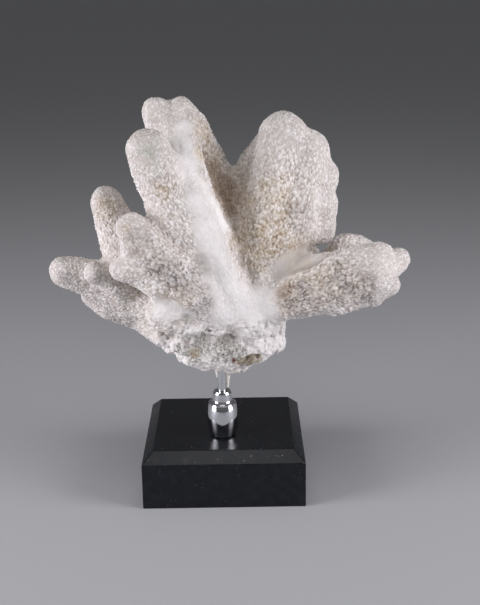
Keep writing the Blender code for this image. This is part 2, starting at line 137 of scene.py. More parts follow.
# %% Curves and rings
def smooth_curve(stops, steps):
    """Points on a smooth curve through its stops, with so many steps a span.

    Each span from b to c is a cubic. Its slope at b is (c - a) / 2 and at c it is (d - b) / 2,
    where a and d are the stops before and after, so spans meet without a kink.
    """
    stops = np.vstack((2 * stops[0] - stops[1], stops, 2 * stops[-1] - stops[-2]))
    t = np.arange(steps)[:, None] / steps
    spans = []
    for a, b, c, d in zip(stops, stops[1:], stops[2:], stops[3:]):
        bend = 2 * a - 5 * b + 4 * c - d
        twist = 3 * b - a - 3 * c + d
        spans.append(0.5 * (2 * b + (c - a) * t + bend * t**2 + twist * t**3))
    return np.vstack(spans + [stops[-2:-1]])


def ring_quads(rings, sides):
    """The quads between rings that follow one another, each with this many points."""
    k, j = np.meshgrid(np.arange(rings - 1), np.arange(sides), indexing="ij")
    here, after = k * sides + j, k * sides + (j + 1) % sides
    return np.stack((here, after, after + sides, here + sides), -1).reshape(-1, 4)


print("quads between three rings of four points:", len(ring_quads(3, 4)))

# %% [markdown]
# The arrays have to become a mesh and the mesh an object. Modifiers still do some of the work,
# and then their result is read back as arrays. A finished piece gets its material, is parented to
# the body it rides on, and hides the node of the frame that it stands for.


# %% Meshes and objects
def mesh_from(name, points, faces):
    """A smoothly shaded mesh with these points and faces."""
    mesh = bpy.data.meshes.new(name)
    mesh.from_pydata(points, [], faces)
    mesh.polygons.foreach_set("use_smooth", np.ones(len(faces), bool))
    return mesh


def object_from(name, mesh):
    """Puts the mesh into the scene, at the origin and unturned."""
    thing = bpy.data.objects.new(name, mesh)
    bpy.context.scene.collection.objects.link(thing)
    return thing


def evaluated_mesh(thing):
    """A new mesh of the object with its modifiers applied, and the object itself taken away."""
    graph = bpy.context.evaluated_depsgraph_get()
    evaluated = thing.evaluated_get(graph)
    mesh = bpy.data.meshes.new_from_object(evaluated, preserve_all_data_layers=True, depsgraph=graph)
    bpy.data.objects.remove(thing, do_unlink=True)
    return mesh


def values_of(collection, name, width):
    """One value for each item of a mesh's collection, as rows of an array."""
    values = np.empty(len(collection) * width, np.float32)
    collection.foreach_get(name, values)
    return values.reshape(-1, width).astype(float) if width > 1 else values.astype(float)


def finish_piece(piece, material, node):
    """Gives a finished piece its material and its body, and hides the node that it stands for."""
    piece.data.materials.clear()
    piece.data.materials.append(material)
    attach(piece, "root")
    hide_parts(node)


# %% [markdown]
# ## Helpers for finishes
# Colours are written as sRGB hex values, as a paint chart gives them, and one function turns them
# into the linear values that light is worked out with. One small function adds a node with its
# settings and its links, so a material reads as a list of what feeds what.


# %% Material helpers
def linear(hex_colour):
    """A hex colour as linear red, green and blue, by the sRGB curve, with alpha 1."""
    parts = np.array([int(hex_colour[start:start + 2], 16) for start in (1, 3, 5)]) / 255
    curve = np.where(parts <= 0.04045, parts / 12.92, ((parts + 0.055) / 1.055) ** 2.4)
    return (*curve.tolist(), 1.0)


def feed(tree, node, links):
    """Sets or connects sockets. Where a node is given for a value, its first output is meant."""
    for socket, value in links.items():
        if isinstance(value, bpy.types.Node):
            value = value.outputs[0]
        if isinstance(value, bpy.types.NodeSocket):
            tree.links.new(value, node.inputs[socket])
        else:
            node.inputs[socket].default_value = value


def add(tree, kind, links=None, **settings):
    """Adds a node. Settings are its own properties; links are sockets to set or to connect."""
    node = tree.nodes.new("ShaderNode" + kind)
    for name, value in settings.items():
        setattr(node, name, value)
    feed(tree, node, links or {})
    return node


def new_material(name):
    """A material with only its shader in its node tree, and the place on the object."""
    material = bpy.data.materials.new(name)
    material.use_nodes = True
    tree = material.node_tree
    tree.nodes.clear()
    shader = add(tree, "BsdfPrincipled")
    add(tree, "OutputMaterial", {"Surface": shader.outputs["BSDF"]})
    return material, tree, shader, add(tree, "TexCoord").outputs["Object"]


# %% [markdown]
# ## The fingers
# A colony like this could be grown by a rule, but the photograph shows one particular colony. So
# each finger is a few stations along its middle line, (x, y, z, radius) in millimetres from the
# tip to the trunk, placed with the measured camera. A smooth curve through the stations gives the
# tube. The back, which the photograph doesn't show, has fingers of the same kind.

# %% Stations of the fingers
FINGERS = {
    "upper_left": {
        "rear_left_tip": ((-37, 8, 235, 9.5), (-33, 8, 223, 10.5), (-26, 4, 206, 12), (-15, -4, 183, 14.5),
                          (-1, -12, 153, 16)),
        "rear_right_tip": ((-22, 10, 235, 9), (-15, 11, 223, 10), (-9, 12, 211, 10), (-4, 11, 199, 10.5),
                           (1, 8, 183, 12.5), (6, 0, 160, 13), (9, -8, 140, 13)),
        "front_tip": ((-40, -28, 217, 13.5), (-36, -30, 207, 14), (-31, -28, 194, 14), (-25, -26, 179, 17),
                      (-15, -25, 157, 18)),
        "front_ridge": ((-25, -22, 207, 7.5), (-17, -29, 190, 9.5), (-8, -33, 167, 9.5), (0, -34, 146, 11),
                        (6, -31, 134, 13.5), (12, -28, 121, 15)),
        "crest": ((-21, 4, 229, 6.5), (-18, -3, 219, 6.5), (-15, -12, 205, 6.5), (-11, -21, 191, 7),
                  (-7, -26, 180, 8.5), (-3.5, -28, 168, 9.5)),
        "face": ((-27, 3, 224, 9.5), (-23, -7, 211, 10.5), (-19, -17, 197, 12), (-14, -22, 180, 14)),
    },
    "left": {
        "thumb": ((-69, 2, 181, 10.5), (-65, 0, 170, 12), (-61, -4, 156, 12.5), (-53, -8, 142, 12.5),
                  (-34, -14, 131, 14.5), (-10, -18, 124, 16)),
        "knob": ((-51, -40, 174, 9.5), (-44, -38, 167, 12), (-33, -36, 154, 14.5), (-15, -34, 139, 16.5),
                 (1, -26, 126, 17)),
        "palm": ((-48, -41.5, 163, 9.5), (-40, -41, 158, 12), (-26, -40, 147, 14), (-8, -34, 132, 15.5)),
        "nose": ((-57, -43.5, 151, 8), (-47, -43, 150, 10), (-33, -42, 143, 12.5), (-17, -38, 133, 14),
                 (0, -28, 123, 17)),
    },
    "low_left": {
        "finger": ((-95, -14, 142, 10), (-83, -14, 139, 11), (-69, -14, 134, 13.5), (-50, -14, 126, 14.5),
                   (-28, -16, 118, 17), (-7, -18, 114, 18.5)),
        "little_knob": ((-74, -35, 147, 7.2), (-69, -31, 143, 7), (-59, -24, 135, 9.5)),
        "underside": ((-80, -8, 125, 7.5), (-67, -8, 120, 11.5), (-51, -8, 116, 13), (-35, -12, 111, 17),
                      (-13, -16, 107, 19.5)),
    },
    "right_blade": {
        "top_tip": ((39, 0, 220, 15.5), (35, -4, 199, 16), (28, -10, 176, 15), (21, -14, 152, 13.5),
                    (14, -16, 129, 13.5)),
        "left_flank": ((30, 10, 213, 10), (23, 11, 196, 13.5), (19, 8, 177, 15), (16, -2, 154, 13.5),
                       (13, -12, 131, 13.5)),
        "shoulder": ((54, 2, 210, 14), (48, -2, 191, 16), (38, -8, 169, 15), (27, -14, 146, 13.5),
                     (18, -16, 129, 13.5)),
        "right_tip": ((60, 4, 194, 13.5), (52, 0, 181, 14), (41, -6, 163, 14), (28, -14, 144, 13)),
        "right_low": ((61, 4, 176, 12.5), (53, 0, 170, 13), (42, -6, 159, 13), (29, -12, 144, 12)),
        "right_toe": ((62, 4, 162.8, 10), (52, 0, 163, 10.5), (42, -6, 156, 10.5), (29, -12, 142, 11)),
        "valley": ((8, 10, 190, 10.5), (10, 4, 178, 12.5), (12, -4, 158, 14.5), (13, -12, 134, 14.5)),
    },
    "low_right": {
        "middle": ((87, -32, 146, 15), (77, -32, 140, 16.5), (62, -33, 134, 14.5), (45, -32, 129, 13),
                   (27, -26, 122.5, 13), (12, -18, 118, 15)),
        "top_knob": ((95, -30, 153, 9), (85, -31, 147.5, 11), (73, -32, 140, 11.5)),
        "rear_knob": ((108, -12, 145, 8.2), (98, -18, 143, 10.5), (85, -26, 142, 13)),
        "end_knob": ((99, -36, 136, 7.7), (90, -36, 137, 10.5), (77, -34, 136, 13)),
        "under_knob": ((91, -34, 129, 6.5), (80, -34, 131, 10), (68, -33, 130, 12.5)),
        "second_ridge": ((81, -9, 146.5, 5.5), (68, -10, 142, 8), (56, -12, 139, 9.5), (44, -15, 133, 11),
                         (31, -18, 127, 12.5)),
    },
    "rear_right": {
        "far_knob": ((96, 30, 140, 7.8), (88, 30, 142, 9.4), (78, 29, 142.5, 9.3), (71, 26, 134, 9.2),
                     (50, 16, 127, 10), (31, 4, 126, 12.5), (15, -8, 124, 13.5)),
        "saddle": ((51.5, 9, 143, 10.5), (43.5, 5, 141, 12), (32, 0, 135, 12.5)),
        "trough": ((52.5, 0, 143, 9), (46, -6, 142, 10.5), (36, -12, 137, 12)),
    },
    "back_left": {
        "tall": ((-22, 46, 181, 11), (-19, 42, 168, 13), (-11, 30, 150, 14), (1, 8, 132, 15),
                 (8, -10, 124, 15)),
        "wide": ((-37, 52, 148, 10.5), (-29, 44, 141, 12), (-15, 26, 132, 14), (2, 0, 125, 15)),
        "low": ((-47, 36, 125, 9), (-35, 28, 123, 11), (-15, 10, 121, 14), (4, -10, 120, 15)),
    },
    "back_right": {
        "tall": ((45, 44, 188, 11.5), (42, 40, 173, 13.5), (33, 24, 152, 14), (19, 0, 134, 15),
                 (13, -12, 125, 13.5)),
        "fan": ((60, 48, 166, 10), (51, 40, 156, 11.5), (39, 26, 145, 13), (23, 2, 130, 13.5)),
    },
    "back": {
        "long": ((9, 82, 132, 12), (11, 66, 128, 13), (11, 40, 123, 14.5), (9, 12, 120, 16.5)),
        "side": ((27, 68, 120, 9.5), (21, 52, 119, 11.5), (14, 26, 118, 14.5)),
        "stub": ((-6, 72, 124, 9), (0, 54, 122, 10.5), (7, 28, 119, 13)),
    },
    "holdfast": {
        "trunk": ((8, -14, 122, 21), (6, -14, 109, 23.5), (5, -14, 100, 22.5), (4, -14, 94, 17.5)),
        "rear_fill": ((-16, 2, 140, 13), (-4, -6, 128, 17)),
        "left_ledge": ((-35, -37, 120, 9), (-23, -37, 118, 11.5), (-6, -29, 112, 13.5)),
        "left_skirt": ((-34, -24, 103, 8.5), (-23, -24, 100, 11), (-7, -22, 99, 14.5)),
        "front_block": ((-21, -34, 97, 9), (-10, -34, 96, 11), (2, -30, 95, 11)),
        "right_block": ((28, -18, 97, 11), (17, -20, 97, 15), (5, -20, 97, 17)),
        "right_spike": ((38, -16, 102, 3), (34, -16, 101, 6), (25, -16, 99, 10)),
        "front_fill": ((24, -29, 138, 8), (21, -28, 128, 12), (18, -26, 114, 15)),
        "cap": ((-37, -40, 124, 7.5), (-30, -41, 124, 8.5), (-18, -38, 121, 9)),
        "right_shoulder": ((32, -18, 107, 7.5), (22, -18, 108, 12)),
        "low_lump": ((11, -10, 80, 7), (7, -14, 87, 11)),
        "rear_block": ((6, 12, 93, 13), (6, 0, 94, 19)),
    },
}
ALL_FINGERS = [stations for branch in FINGERS.values() for stations in branch.values()]
print("fingers:", len(ALL_FINGERS))

# %% [markdown]
# ## From stations to tubes
# A tube is a circle carried along a curve. The curve passes through its stations, so that each
# station stays what was measured. A dome closes each end, because a living tip is round.

# %% Tubes along the fingers
RINGS_PER_SPAN = 6
TUBE_SIDES = 16
END_RINGS = 4
LAST_RING_ANGLE = math.radians(89.0)  # of a dome; its small flat cap closes the rest
MOSTLY_ALONG_Y = 0.7  # a finger that runs along Y more than this measures its rings from Z


def smooth_path(stations):
    """Points and radii on a smooth curve through a finger's stations."""
    path = smooth_curve(np.array(stations, float) * MM, RINGS_PER_SPAN)
    return path[:, :3], path[:, 3]


def tube(stations):
    """A round tube along the stations with a dome on each end, as points and faces.

    A point is the path's centre plus radius times (side cos a + up sin a). In a dome the radius
    is r cos(b) and the centre moves out by r sin(b), for b up to just under 90 degrees.
    """
    centres, radii = smooth_path(stations)
    tangents = unit(np.gradient(centres, axis=0))
    angles = np.append(np.linspace(0, math.pi / 2, END_RINGS + 2)[1:-1], LAST_RING_ANGLE)
    first = centres[0] - tangents[0] * (radii[0] * np.sin(angles[::-1]))[:, None]
    last = centres[-1] + tangents[-1] * (radii[-1] * np.sin(angles))[:, None]
    all_centres = np.vstack((first, centres, last))
    all_radii = np.concatenate((radii[0] * np.cos(angles[::-1]), radii, radii[-1] * np.cos(angles)))
    repeats = np.concatenate(([0] * len(angles), np.arange(len(radii)), [len(radii) - 1] * len(angles)))
    axis = tangents[repeats]
    run = unit(centres[-1] - centres[0])
    guide = (0.0, 0.0, 1.0) if abs(run[1]) > MOSTLY_ALONG_Y else (0.0, 1.0, 0.0)
    side = unit(np.cross(axis, guide))
    up = np.cross(side, axis)
    turn = np.arange(TUBE_SIDES) * 2 * math.pi / TUBE_SIDES
    ring = side[:, None] * np.cos(turn)[None, :, None] + up[:, None] * np.sin(turn)[None, :, None]
    points = (all_centres[:, None] + all_radii[:, None, None] * ring).reshape(-1, 3)
    quads = np.roll(ring_quads(len(all_centres), TUBE_SIDES)[:, ::-1], 1, axis=1)
    end = len(points)
    caps = [list(range(TUBE_SIDES)), list(range(end - 1, end - TUBE_SIDES - 1, -1))]
    return points, quads.tolist() + caps


def tubes_mesh(name, fingers):
    """All of these tubes in one mesh, still crossing one another."""
    parts = [tube(stations) for stations in fingers]
    starts = np.cumsum([0] + [len(points) for points, _ in parts])
    faces = [[index + start for index in face]
             for start, (_, part) in zip(starts, parts) for face in part]
    return mesh_from(name, np.vstack([points for points, _ in parts]), faces)


# %% [markdown]
# ## One skin for the whole colony
# Crossing tubes could be joined by booleans, which leave hard creases. A voxel remesh makes one
# closed skin of even quads, and smoothing rounds the creases as living tissue does. Two more
# things are noted at each point while the mesh is still small: the way to the nearest fingertip,
# because warts lean that way, and how hollow the place is, because hollows are painted darker as shade.

# %% Fuse the tubes
VOXEL = 1.9 * MM
SMOOTHING_ROUNDS = 10
SMOOTHING_SHARE = 0.5  # of the way to the neighbours' mean, in each round
HOLLOW_ROUNDS = 60  # of the extra smoothing that shows what is hollow
HOLLOW_DEPTH = 2.2 * MM
FINENESS = 2  # each quad of the skin is split in four this many times


def fused_mesh(name, mesh, voxel, rounds):
    """Joins crossing tubes into one skin of voxel-sized quads and softens their creases."""
    thing = object_from(name, mesh)
    remesh = thing.modifiers.new("fuse", "REMESH")
    remesh.mode = "VOXEL"
    remesh.voxel_size = voxel
    soften = thing.modifiers.new("soften", "SMOOTH")
    soften.factor = SMOOTHING_SHARE
    soften.iterations = rounds
    return evaluated_mesh(thing)


skin = fused_mesh("coral_skin", tubes_mesh("coral_tubes", ALL_FINGERS), VOXEL, SMOOTHING_ROUNDS)
print("skin:", len(skin.vertices), "points")

# %% [markdown]
# The way to the tip is a mean over all rings of all fingers. A ring counts for more the nearer
# its tube's surface is, so the direction turns softly where two fingers meet.

# %% Directions and hollows
RING_REACH = 2.5 * MM
NO_LIVING_TIP = 40.0 * MM  # the lumps of the broken foot count as this far from a tip
CHUNK = 4000


def ring_table():
    """Every ring's centre, radius, direction to its fingertip and distance from it."""
    tables = []
    for stations in ALL_FINGERS:
        centres, radii = smooth_path(stations)
        steps = np.linalg.norm(np.diff(centres, axis=0), axis=1)
        start = NO_LIVING_TIP if stations in FINGERS["holdfast"].values() else 0.0
        from_tip = start + np.concatenate(([0.0], np.cumsum(steps)))
        to_tip = -unit(np.gradient(centres, axis=0))
        tables.append(np.column_stack((centres, radii, to_tip, from_tip)))
    return np.vstack(tables)


def growth_at(points):
    """At each point the direction to the tip and the distance from it.

    Both are means over all rings with the weight exp(-gap / reach), where gap is the distance to
    the ring's centre less the ring's radius.
    """
    rings = ring_table()
    ways, distances = [], []
    for start in range(0, len(points), CHUNK):
        between = points[start:start + CHUNK, None] - rings[None, :, :3]
        gap = np.linalg.norm(between, axis=2) - rings[:, 3]
        weight = np.exp(-(gap - gap.min(1, keepdims=True)) / RING_REACH)
        weight /= weight.sum(1, keepdims=True)
        ways.append(weight @ rings[:, 4:7])
        past = np.einsum("nrk,rk->nr", between, rings[:, 4:7])
        distances.append((weight * (rings[:, 7] - past)).sum(1))
    return unit(np.vstack(ways)), np.concatenate(distances)


def hollow_at(mesh):
    """How far the skin would rise at each point if it were smoothed much more, over a set depth."""
    points = values_of(mesh.vertices, "co", 3)
    normals = values_of(mesh.vertex_normals, "vector", 3)
    soft = object_from("soft_copy", mesh.copy())
    soften = soft.modifiers.new("soften", "SMOOTH")
    soften.iterations = HOLLOW_ROUNDS
    softer = values_of(evaluated_mesh(soft).vertices, "co", 3)
    return ((softer - points) * normals).sum(1) / HOLLOW_DEPTH


def keep_value(mesh, name, values):
    """Stores one number or one vector for each point of the mesh."""
    kind, field = ("FLOAT_VECTOR", "vector") if values.ndim > 1 else ("FLOAT", "value")
    layer = mesh.attributes.new(name, kind, "POINT")
    layer.data.foreach_set(field, values.astype(np.float32).ravel())


way_to_tip, tip_distance = growth_at(values_of(skin.vertices, "co", 3))
keep_value(skin, "way", way_to_tip)
keep_value(skin, "from_tip", tip_distance)
# how hollow each point is; the material paints hollows darker, as shade
keep_value(skin, "hollow", hollow_at(skin))
print("farthest from a tip, in mm:", round(tip_distance.max() / MM))

# %% [markdown]
# Splitting every quad in sixteen gives about half a millimetre between points, which is what the
# warts need. From here on the skin is arrays: places, outward directions and triangles.

# %% Refine the skin
refined = object_from("fine_skin", skin)
finer = refined.modifiers.new("finer", "SUBSURF")
finer.levels = FINENESS
finer.render_levels = FINENESS
fine = evaluated_mesh(refined)
base_points = values_of(fine.vertices, "co", 3)
base_normals = values_of(fine.vertex_normals, "vector", 3)
fine_way = unit(values_of(fine.attributes["way"].data, "vector", 3))
from_tip = values_of(fine.attributes["from_tip"].data, "value", 1)
hollow = values_of(fine.attributes["hollow"].data, "value", 1)
quads = np.empty(len(fine.polygons) * 4, np.int32)
fine.polygons.foreach_get("vertices", quads)
quads = quads.reshape(-1, 4)
print("fine skin:", len(base_points), "points,", len(quads) * 2, "triangles")

# %% [markdown]
# ## What is foot and what is branch
# The colony was broken off its rock, so its foot has another surface than its living branches.
# It could be a piece of its own. But the change is soft, so each point has a share of foot, from
# 0 to 1. Its upper edge wanders, and it reaches higher on the left, as in the photograph.

# %% Share of the foot
FOOT_TOP = 119.0 * MM
FOOT_FADE = 7.0 * MM
FOOT_RISE = 0.2  # the broken part reaches this much higher for each millimetre to the left
FOOT_RISE_FROM = -5.0 * MM
FOOT_WANDER = 2.5 * MM  # how far the top of the broken part runs up and down
FOOT_WANDER_LENGTH = 16.0 * MM
FOOT_WANDER_SEED = 13
FOOT_AXIS = (2.0 * MM, -14.0 * MM)
FOOT_RADIUS = 44.0 * MM
FOOT_EDGE = 4.0 * MM


def foot_share(points):
    """1 on the broken foot, 0 on the living branches."""
    from_axis = np.hypot(points[:, 0] - FOOT_AXIS[0], points[:, 1] - FOOT_AXIS[1])
    height = points[:, 2] + FOOT_WANDER * waves(points, FOOT_WANDER_LENGTH, FOOT_WANDER_SEED)
    height += FOOT_RISE * np.minimum(points[:, 0] - FOOT_RISE_FROM, 0)
    low = 1 - ramp(height, FOOT_TOP - FOOT_FADE, FOOT_TOP)
    return low * (1 - ramp(from_axis, FOOT_RADIUS - FOOT_EDGE, FOOT_RADIUS + FOOT_EDGE))


foot = foot_share(base_points)
print("points on the foot:", int((foot > 0.5).sum()))

# %% [markdown]
# Forms with a place of their own are put on with two measures: how deep a point lies in a ball,
# and how far it is from a bent line. Both are plain formulas, so nothing has to be sculpted.


# %% Balls and lines
def distance_to_lines(points, lines):
    """Distance to the nearest bent line: the least over its pieces a + t (b - a), t from 0 to 1."""
    least = np.full(len(points), np.inf)
    for line in lines:
        stops = np.array(line) * MM
        for a, b in zip(stops, stops[1:]):
            t = np.clip((points - a) @ (b - a) / ((b - a) @ (b - a)), 0, 1)
            least = np.minimum(least, np.linalg.norm(points - a - t[:, None] * (b - a), axis=1))
    return least


def ball(points, x, y, z, radius):
    """1 - d^2 / r^2 in a ball given in mm: 1 in its middle and 0 from its edge on."""
    square = ((points - np.array((x, y, z)) * MM) ** 2).sum(1) / (radius * MM) ** 2
    return np.clip(1 - square, 0, None)


def patch_share(points, balls):
    """Soft balls combined: 1 less the product of what each leaves, so never more than 1."""
    return 1 - math.prod(1 - ball(points, *numbers) for numbers in balls)


print("in a ball of 2 mm, 1 mm from its middle:", ball(np.array(((0, 0, MM),)), 0, 0, 0, 2))

# %% [markdown]
# Two of the branches have a crisp crest on the side that faces the viewer. A crest follows a line
# drawn in the front view, and only skin that faces forward takes it.

# %% Crests
CRESTS = (  # (x, z) of each stop along the crest, seen from the front
    ((-20, 240), (-15, 219), (-10.5, 203), (-6, 190), (-2, 178), (2, 165), (5, 153), (9, 140)),
    ((31, 134), (47, 141.5), (61, 148), (75, 154), (89, 160)),
)
CREST_HEIGHT = 2.5 * MM
CREST_WIDTH = 8.0 * MM
CREST_FADE = 14.0 * MM  # over which a crest dies out at its ends
CREST_FACING = (-0.1, 0.35)  # how much the skin faces forward where crests start and are full


def crest_share(points, normals):
    """A tent over each crest, 1 on its line and 0 at its width, only where the skin faces forward."""
    share = np.zeros(len(points))
    seen = points[:, [0, 2]]
    for line in CRESTS:
        distance = distance_to_lines(seen, (line,))
        ends = np.array(line)[[0, -1]] * MM
        from_ends = np.minimum(*(np.linalg.norm(seen - end, axis=1) for end in ends))
        tent = np.clip(1 - distance / CREST_WIDTH, 0, None) * ramp(from_ends, 0, CREST_FADE)
        share = np.maximum(share, tent)
    return share * ramp(-normals[:, 1], *CREST_FACING)


print("skin on crests:", round(float((crest_share(base_points, base_normals) > 0).mean()), 3))

# %% [markdown]
# ## Lumps, ledges and dents
# The branches swell and narrow a little. The foot has ledges with stone gone from under them, and
# dents. With the crests, all of it is one height above the skin, added up from simple terms, so
# each term can be judged on its own.

# %% Large relief
SWELL = -0.2 * MM
LUMP_HEIGHT = 0.55 * MM
LUMP_LENGTH = 15.0 * MM
LUMP_SEED = 3
LEDGES = (  # height at its left end and at its right end, from x, to x, depth
    (110.0, 107.5, -40, 10, 4.8), (90.5, 93.5, 3, 26, 4.0), (121.5, 119.5, -34, -14, 2.6),
    (104.5, 103.0, 12, 42, 1.2), (100.0, 96.0, -40, -22, 1.6),
)
LEDGE_FADE = 9.0 * MM
LEDGE_EDGE = 0.5 * MM
LEDGE_WANDER = 1.1 * MM
LEDGE_WANDER_LENGTH = 7.0 * MM
LEDGE_END = 3.0 * MM
LEDGE_SEED = 7
LEDGE_FACING = (-0.2, 0.3)  # how much the skin faces forward where ledges start and are full
FOOT_DENTS = (  # x, y, z, radius, depth
    (-28, -44, 114, 4.0, 1.2), (-8, -46, 103, 5.0, 1.4),
    (-20, -50, 120.5, 5.0, 2.2), (-27, -40, 100, 4.5, 1.8), (-30, -32, 93, 5.0, 2.0),
    (30, -24, 90, 5.0, 2.0), (20, 8, 84, 6.0, 2.5), (-12, 4, 86, 6.0, 2.5), (-24, -6, 96, 6.0, 2.5),
    (-38, -30, 100, 5.0, -1.2), (14, -36, 88, 7.0, 1.2),
)
DENT_POWER = 1.5


def relief(points, normals, foot):
    """Height of the skin: soft lumps and crests, less what ledges and dents take from the foot."""
    height = SWELL + LUMP_HEIGHT * waves(points, LUMP_LENGTH, LUMP_SEED) * (1 - foot)
    height += CREST_HEIGHT * crest_share(points, normals) * (1 - foot)
    wander = LEDGE_WANDER * waves(points, LEDGE_WANDER_LENGTH, LEDGE_SEED)
    for left_height, right_height, start, end, depth in LEDGES:
        along = (points[:, 0] / MM - start) / (end - start)
        edge = (left_height + (right_height - left_height) * along) * MM + wander
        below = edge - points[:, 2]
        eaten = ramp(below, 0, LEDGE_EDGE) * (1 - ramp(below, LEDGE_EDGE, LEDGE_FADE))
        middle, half = (start + end) / 2 * MM, (end - start) / 2 * MM
        eaten *= 1 - ramp(np.abs(points[:, 0] - middle), half - LEDGE_END, half + LEDGE_END)
        height -= depth * MM * eaten * foot * ramp(-normals[:, 1], *LEDGE_FACING)
    for x, y, z, radius, depth in FOOT_DENTS:
        height -= depth * MM * ball(points, x, y, z, radius) ** DENT_POWER
    return height


def normals_at(points):
    """Outward directions of the fine skin with its points moved to these places."""
    fine.vertices.foreach_set("co", points.astype(np.float32).ravel())
    fine.update()
    return values_of(fine.vertex_normals, "vector", 3)


heights = relief(base_points, base_normals, foot)
points = base_points + base_normals * heights[:, None]
normals = normals_at(points)
print("height of the relief in mm:", round(float(np.ptp(heights) / MM), 1))

# %% [markdown]
# ## The broken foot
# The foot broke off its rock. A broken surface is rough at every size, so soft noise is summed in
# several lengths, each about half as long and half as high as the one before. Part of that sum is
# cut into steps, which gives it flakes with edges, and tilted planes give small facets: each
# point takes the plane of the nearest of many random sites. To find near sites quickly, all of
# them are sorted into a grid of cubes first.

# %% Neighbours through a grid of cubes
def near_pairs(points, sites, reach):
    """Pairs (point, site) that may be within reach: all sites in the 27 cubes round each point.

    The sites are sorted by cube, so the sites of a cube are one run. Each step gives at most one
    site for each point, so arrays can be updated by index.
    """
    low = np.minimum(points.min(0), sites.min(0)) - reach
    point_cells = ((points - low) / reach).astype(np.int64)
    site_cells = ((sites - low) / reach).astype(np.int64)
    size = np.maximum(point_cells.max(0), site_cells.max(0)) + 2
    strides = np.array((size[1] * size[2], size[2], 1))
    keys = site_cells @ strides
    order = np.argsort(keys, kind="stable")
    starts = np.searchsorted(keys[order], np.arange(size.prod() + 1))
    for offset in itertools.product((-1, 0, 1), repeat=3):
        cell = (point_cells + offset) @ strides
        begin, count = starts[cell], starts[cell + 1] - starts[cell]
        for step in range(count.max()):
            some = np.nonzero(count > step)[0]
            yield some, order[begin[some] + step]


# %% Flakes and facets
BREAKS = ((12.0, 1.1, 5), (6.0, 0.6, 6), (3.0, 0.32, 8), (1.6, 0.16, 9))  # length, height in mm, seed
FLAKE = 1.1 * MM  # height of one step
FLAKE_EDGE = (0.35, 0.6)  # where in a step its edge lies
FLAKE_SHARE = 0.65
FACET_WIDTH, FACET_HEIGHT, FACET_SEED = 3.2 * MM, 0.22 * MM, 19
FACET_REACH = 1.6  # times the width, within which a point's nearest site lies
FACET_TILT = 1.3  # height that a facet's plane gains over its width, over the facet's height
LEAST_FOOT, FULL_FOOT = 0.02, 0.7  # shares of the foot where chips start and are full


def flaked(height):
    """The height cut into steps: whole steps plus an S-curve within one, mixed with itself."""
    step = np.floor(height / FLAKE)
    cut = FLAKE * (step + ramp(height / FLAKE - step, *FLAKE_EDGE))
    return FLAKE_SHARE * cut + (1 - FLAKE_SHARE) * height


def facets(points, width, height, seed):
    """Height of the nearest site's tilted plane: its own level plus tilt times the way from it."""
    random = np.random.default_rng(seed)
    low, high = points.min(0) - width, points.max(0) + width
    sites = random.uniform(low, high, (int(np.prod((high - low) / width)), 3))
    levels = random.uniform(-1, 1, len(sites))
    tilts = unit(random.normal(size=sites.shape)) * FACET_TILT / width
    nearest = np.full(len(points), np.inf)
    field = np.zeros(len(points))
    for point, site in near_pairs(points, sites, FACET_REACH * width):
        between = points[point] - sites[site]
        distance = (between**2).sum(1)
        closer = distance < nearest[point]
        point, site, between = point[closer], site[closer], between[closer]
        nearest[point] = distance[closer]
        field[point] = levels[site] + (between * tilts[site]).sum(1)
    return field * height


def chip_heights(points):
    """Rough heights: noise at every size, of which the two longest are flaked, plus facets."""
    layers = [height * MM * waves(points, length * MM, seed) for length, height, seed in BREAKS]
    tilted = facets(points, FACET_WIDTH, FACET_HEIGHT, FACET_SEED)
    return flaked(sum(layers[:2])) + sum(layers[2:]) + tilted


broken = np.nonzero(foot > LEAST_FOOT)[0]
broken_points = points[broken]
chips = chip_heights(broken_points)
print("foot:", len(broken), "points, chips of", round(float(np.ptp(chips) / MM), 1), "mm")

# %% [markdown]
# Worms and sponges bored small round pits into the foot, and a few cracks run through it. A pit is
# a ball taken out of the skin, and a crack is a groove along a line that noise bends. Where they
# are is kept for the finish, which paints both darker as shade.

# %% Pits and cracks
PITS = 230
PIT_SEED = 23
PIT_RADII = (0.2 * MM, 0.7 * MM)
PIT_DEPTH = 0.9  # of its radius
PITTED = (  # where pits are many: (x, y, z, radius) in mm
    (14, -36, 98, 7), (28, -31, 96, 5), (-14, -46, 103, 9), (2, -42, 99, 6), (34, -22, 102, 6),
    (-30, -44, 112, 5), (0, 10, 96, 14), (-26, -40, 100, 5),
)
PITS_ELSEWHERE = 0.04  # of the number there
CRACKS = (
    ((-9, -44, 112.5), (-3, -42, 111.8), (4, -40, 111.5), (11, -37, 111), (19, -35, 108.8),
     (29, -30, 106.2)),
    ((-33, -46, 114), (-29, -46.5, 115.5), (-25, -47, 113.5), (-21, -48, 115)),
    ((-28, -47, 117), (-25, -47, 119), (-22, -48, 118.5)),
    ((-6, -42, 106), (0, -40, 106.8), (4, -38, 105.5)),
)
CRACK_WIDTH = 0.45 * MM
CRACK_DEPTH = 0.9 * MM
CRACK_WANDER, CRACK_LENGTH = 0.9 * MM, 4.0 * MM


def pit_share(points, count, seed):
    """1 in the middle of a pit and 0 outside all pits: 1 - d^2 / r^2, over the pit's radius."""
    random = np.random.default_rng(seed)
    chance = PITS_ELSEWHERE + patch_share(points, PITTED)
    sites = points[random.choice(len(points), count, replace=False, p=chance / chance.sum())]
    radii = random.uniform(*PIT_RADII, count)
    field = np.zeros(len(points))
    for point, site in near_pairs(points, sites, PIT_RADII[1]):
        square = ((points[point] - sites[site]) ** 2).sum(1)
        depth = np.clip(1 - square / radii[site] ** 2, 0, None) * radii[site] / PIT_RADII[1]
        field[point] = np.maximum(field[point], depth)
    return field


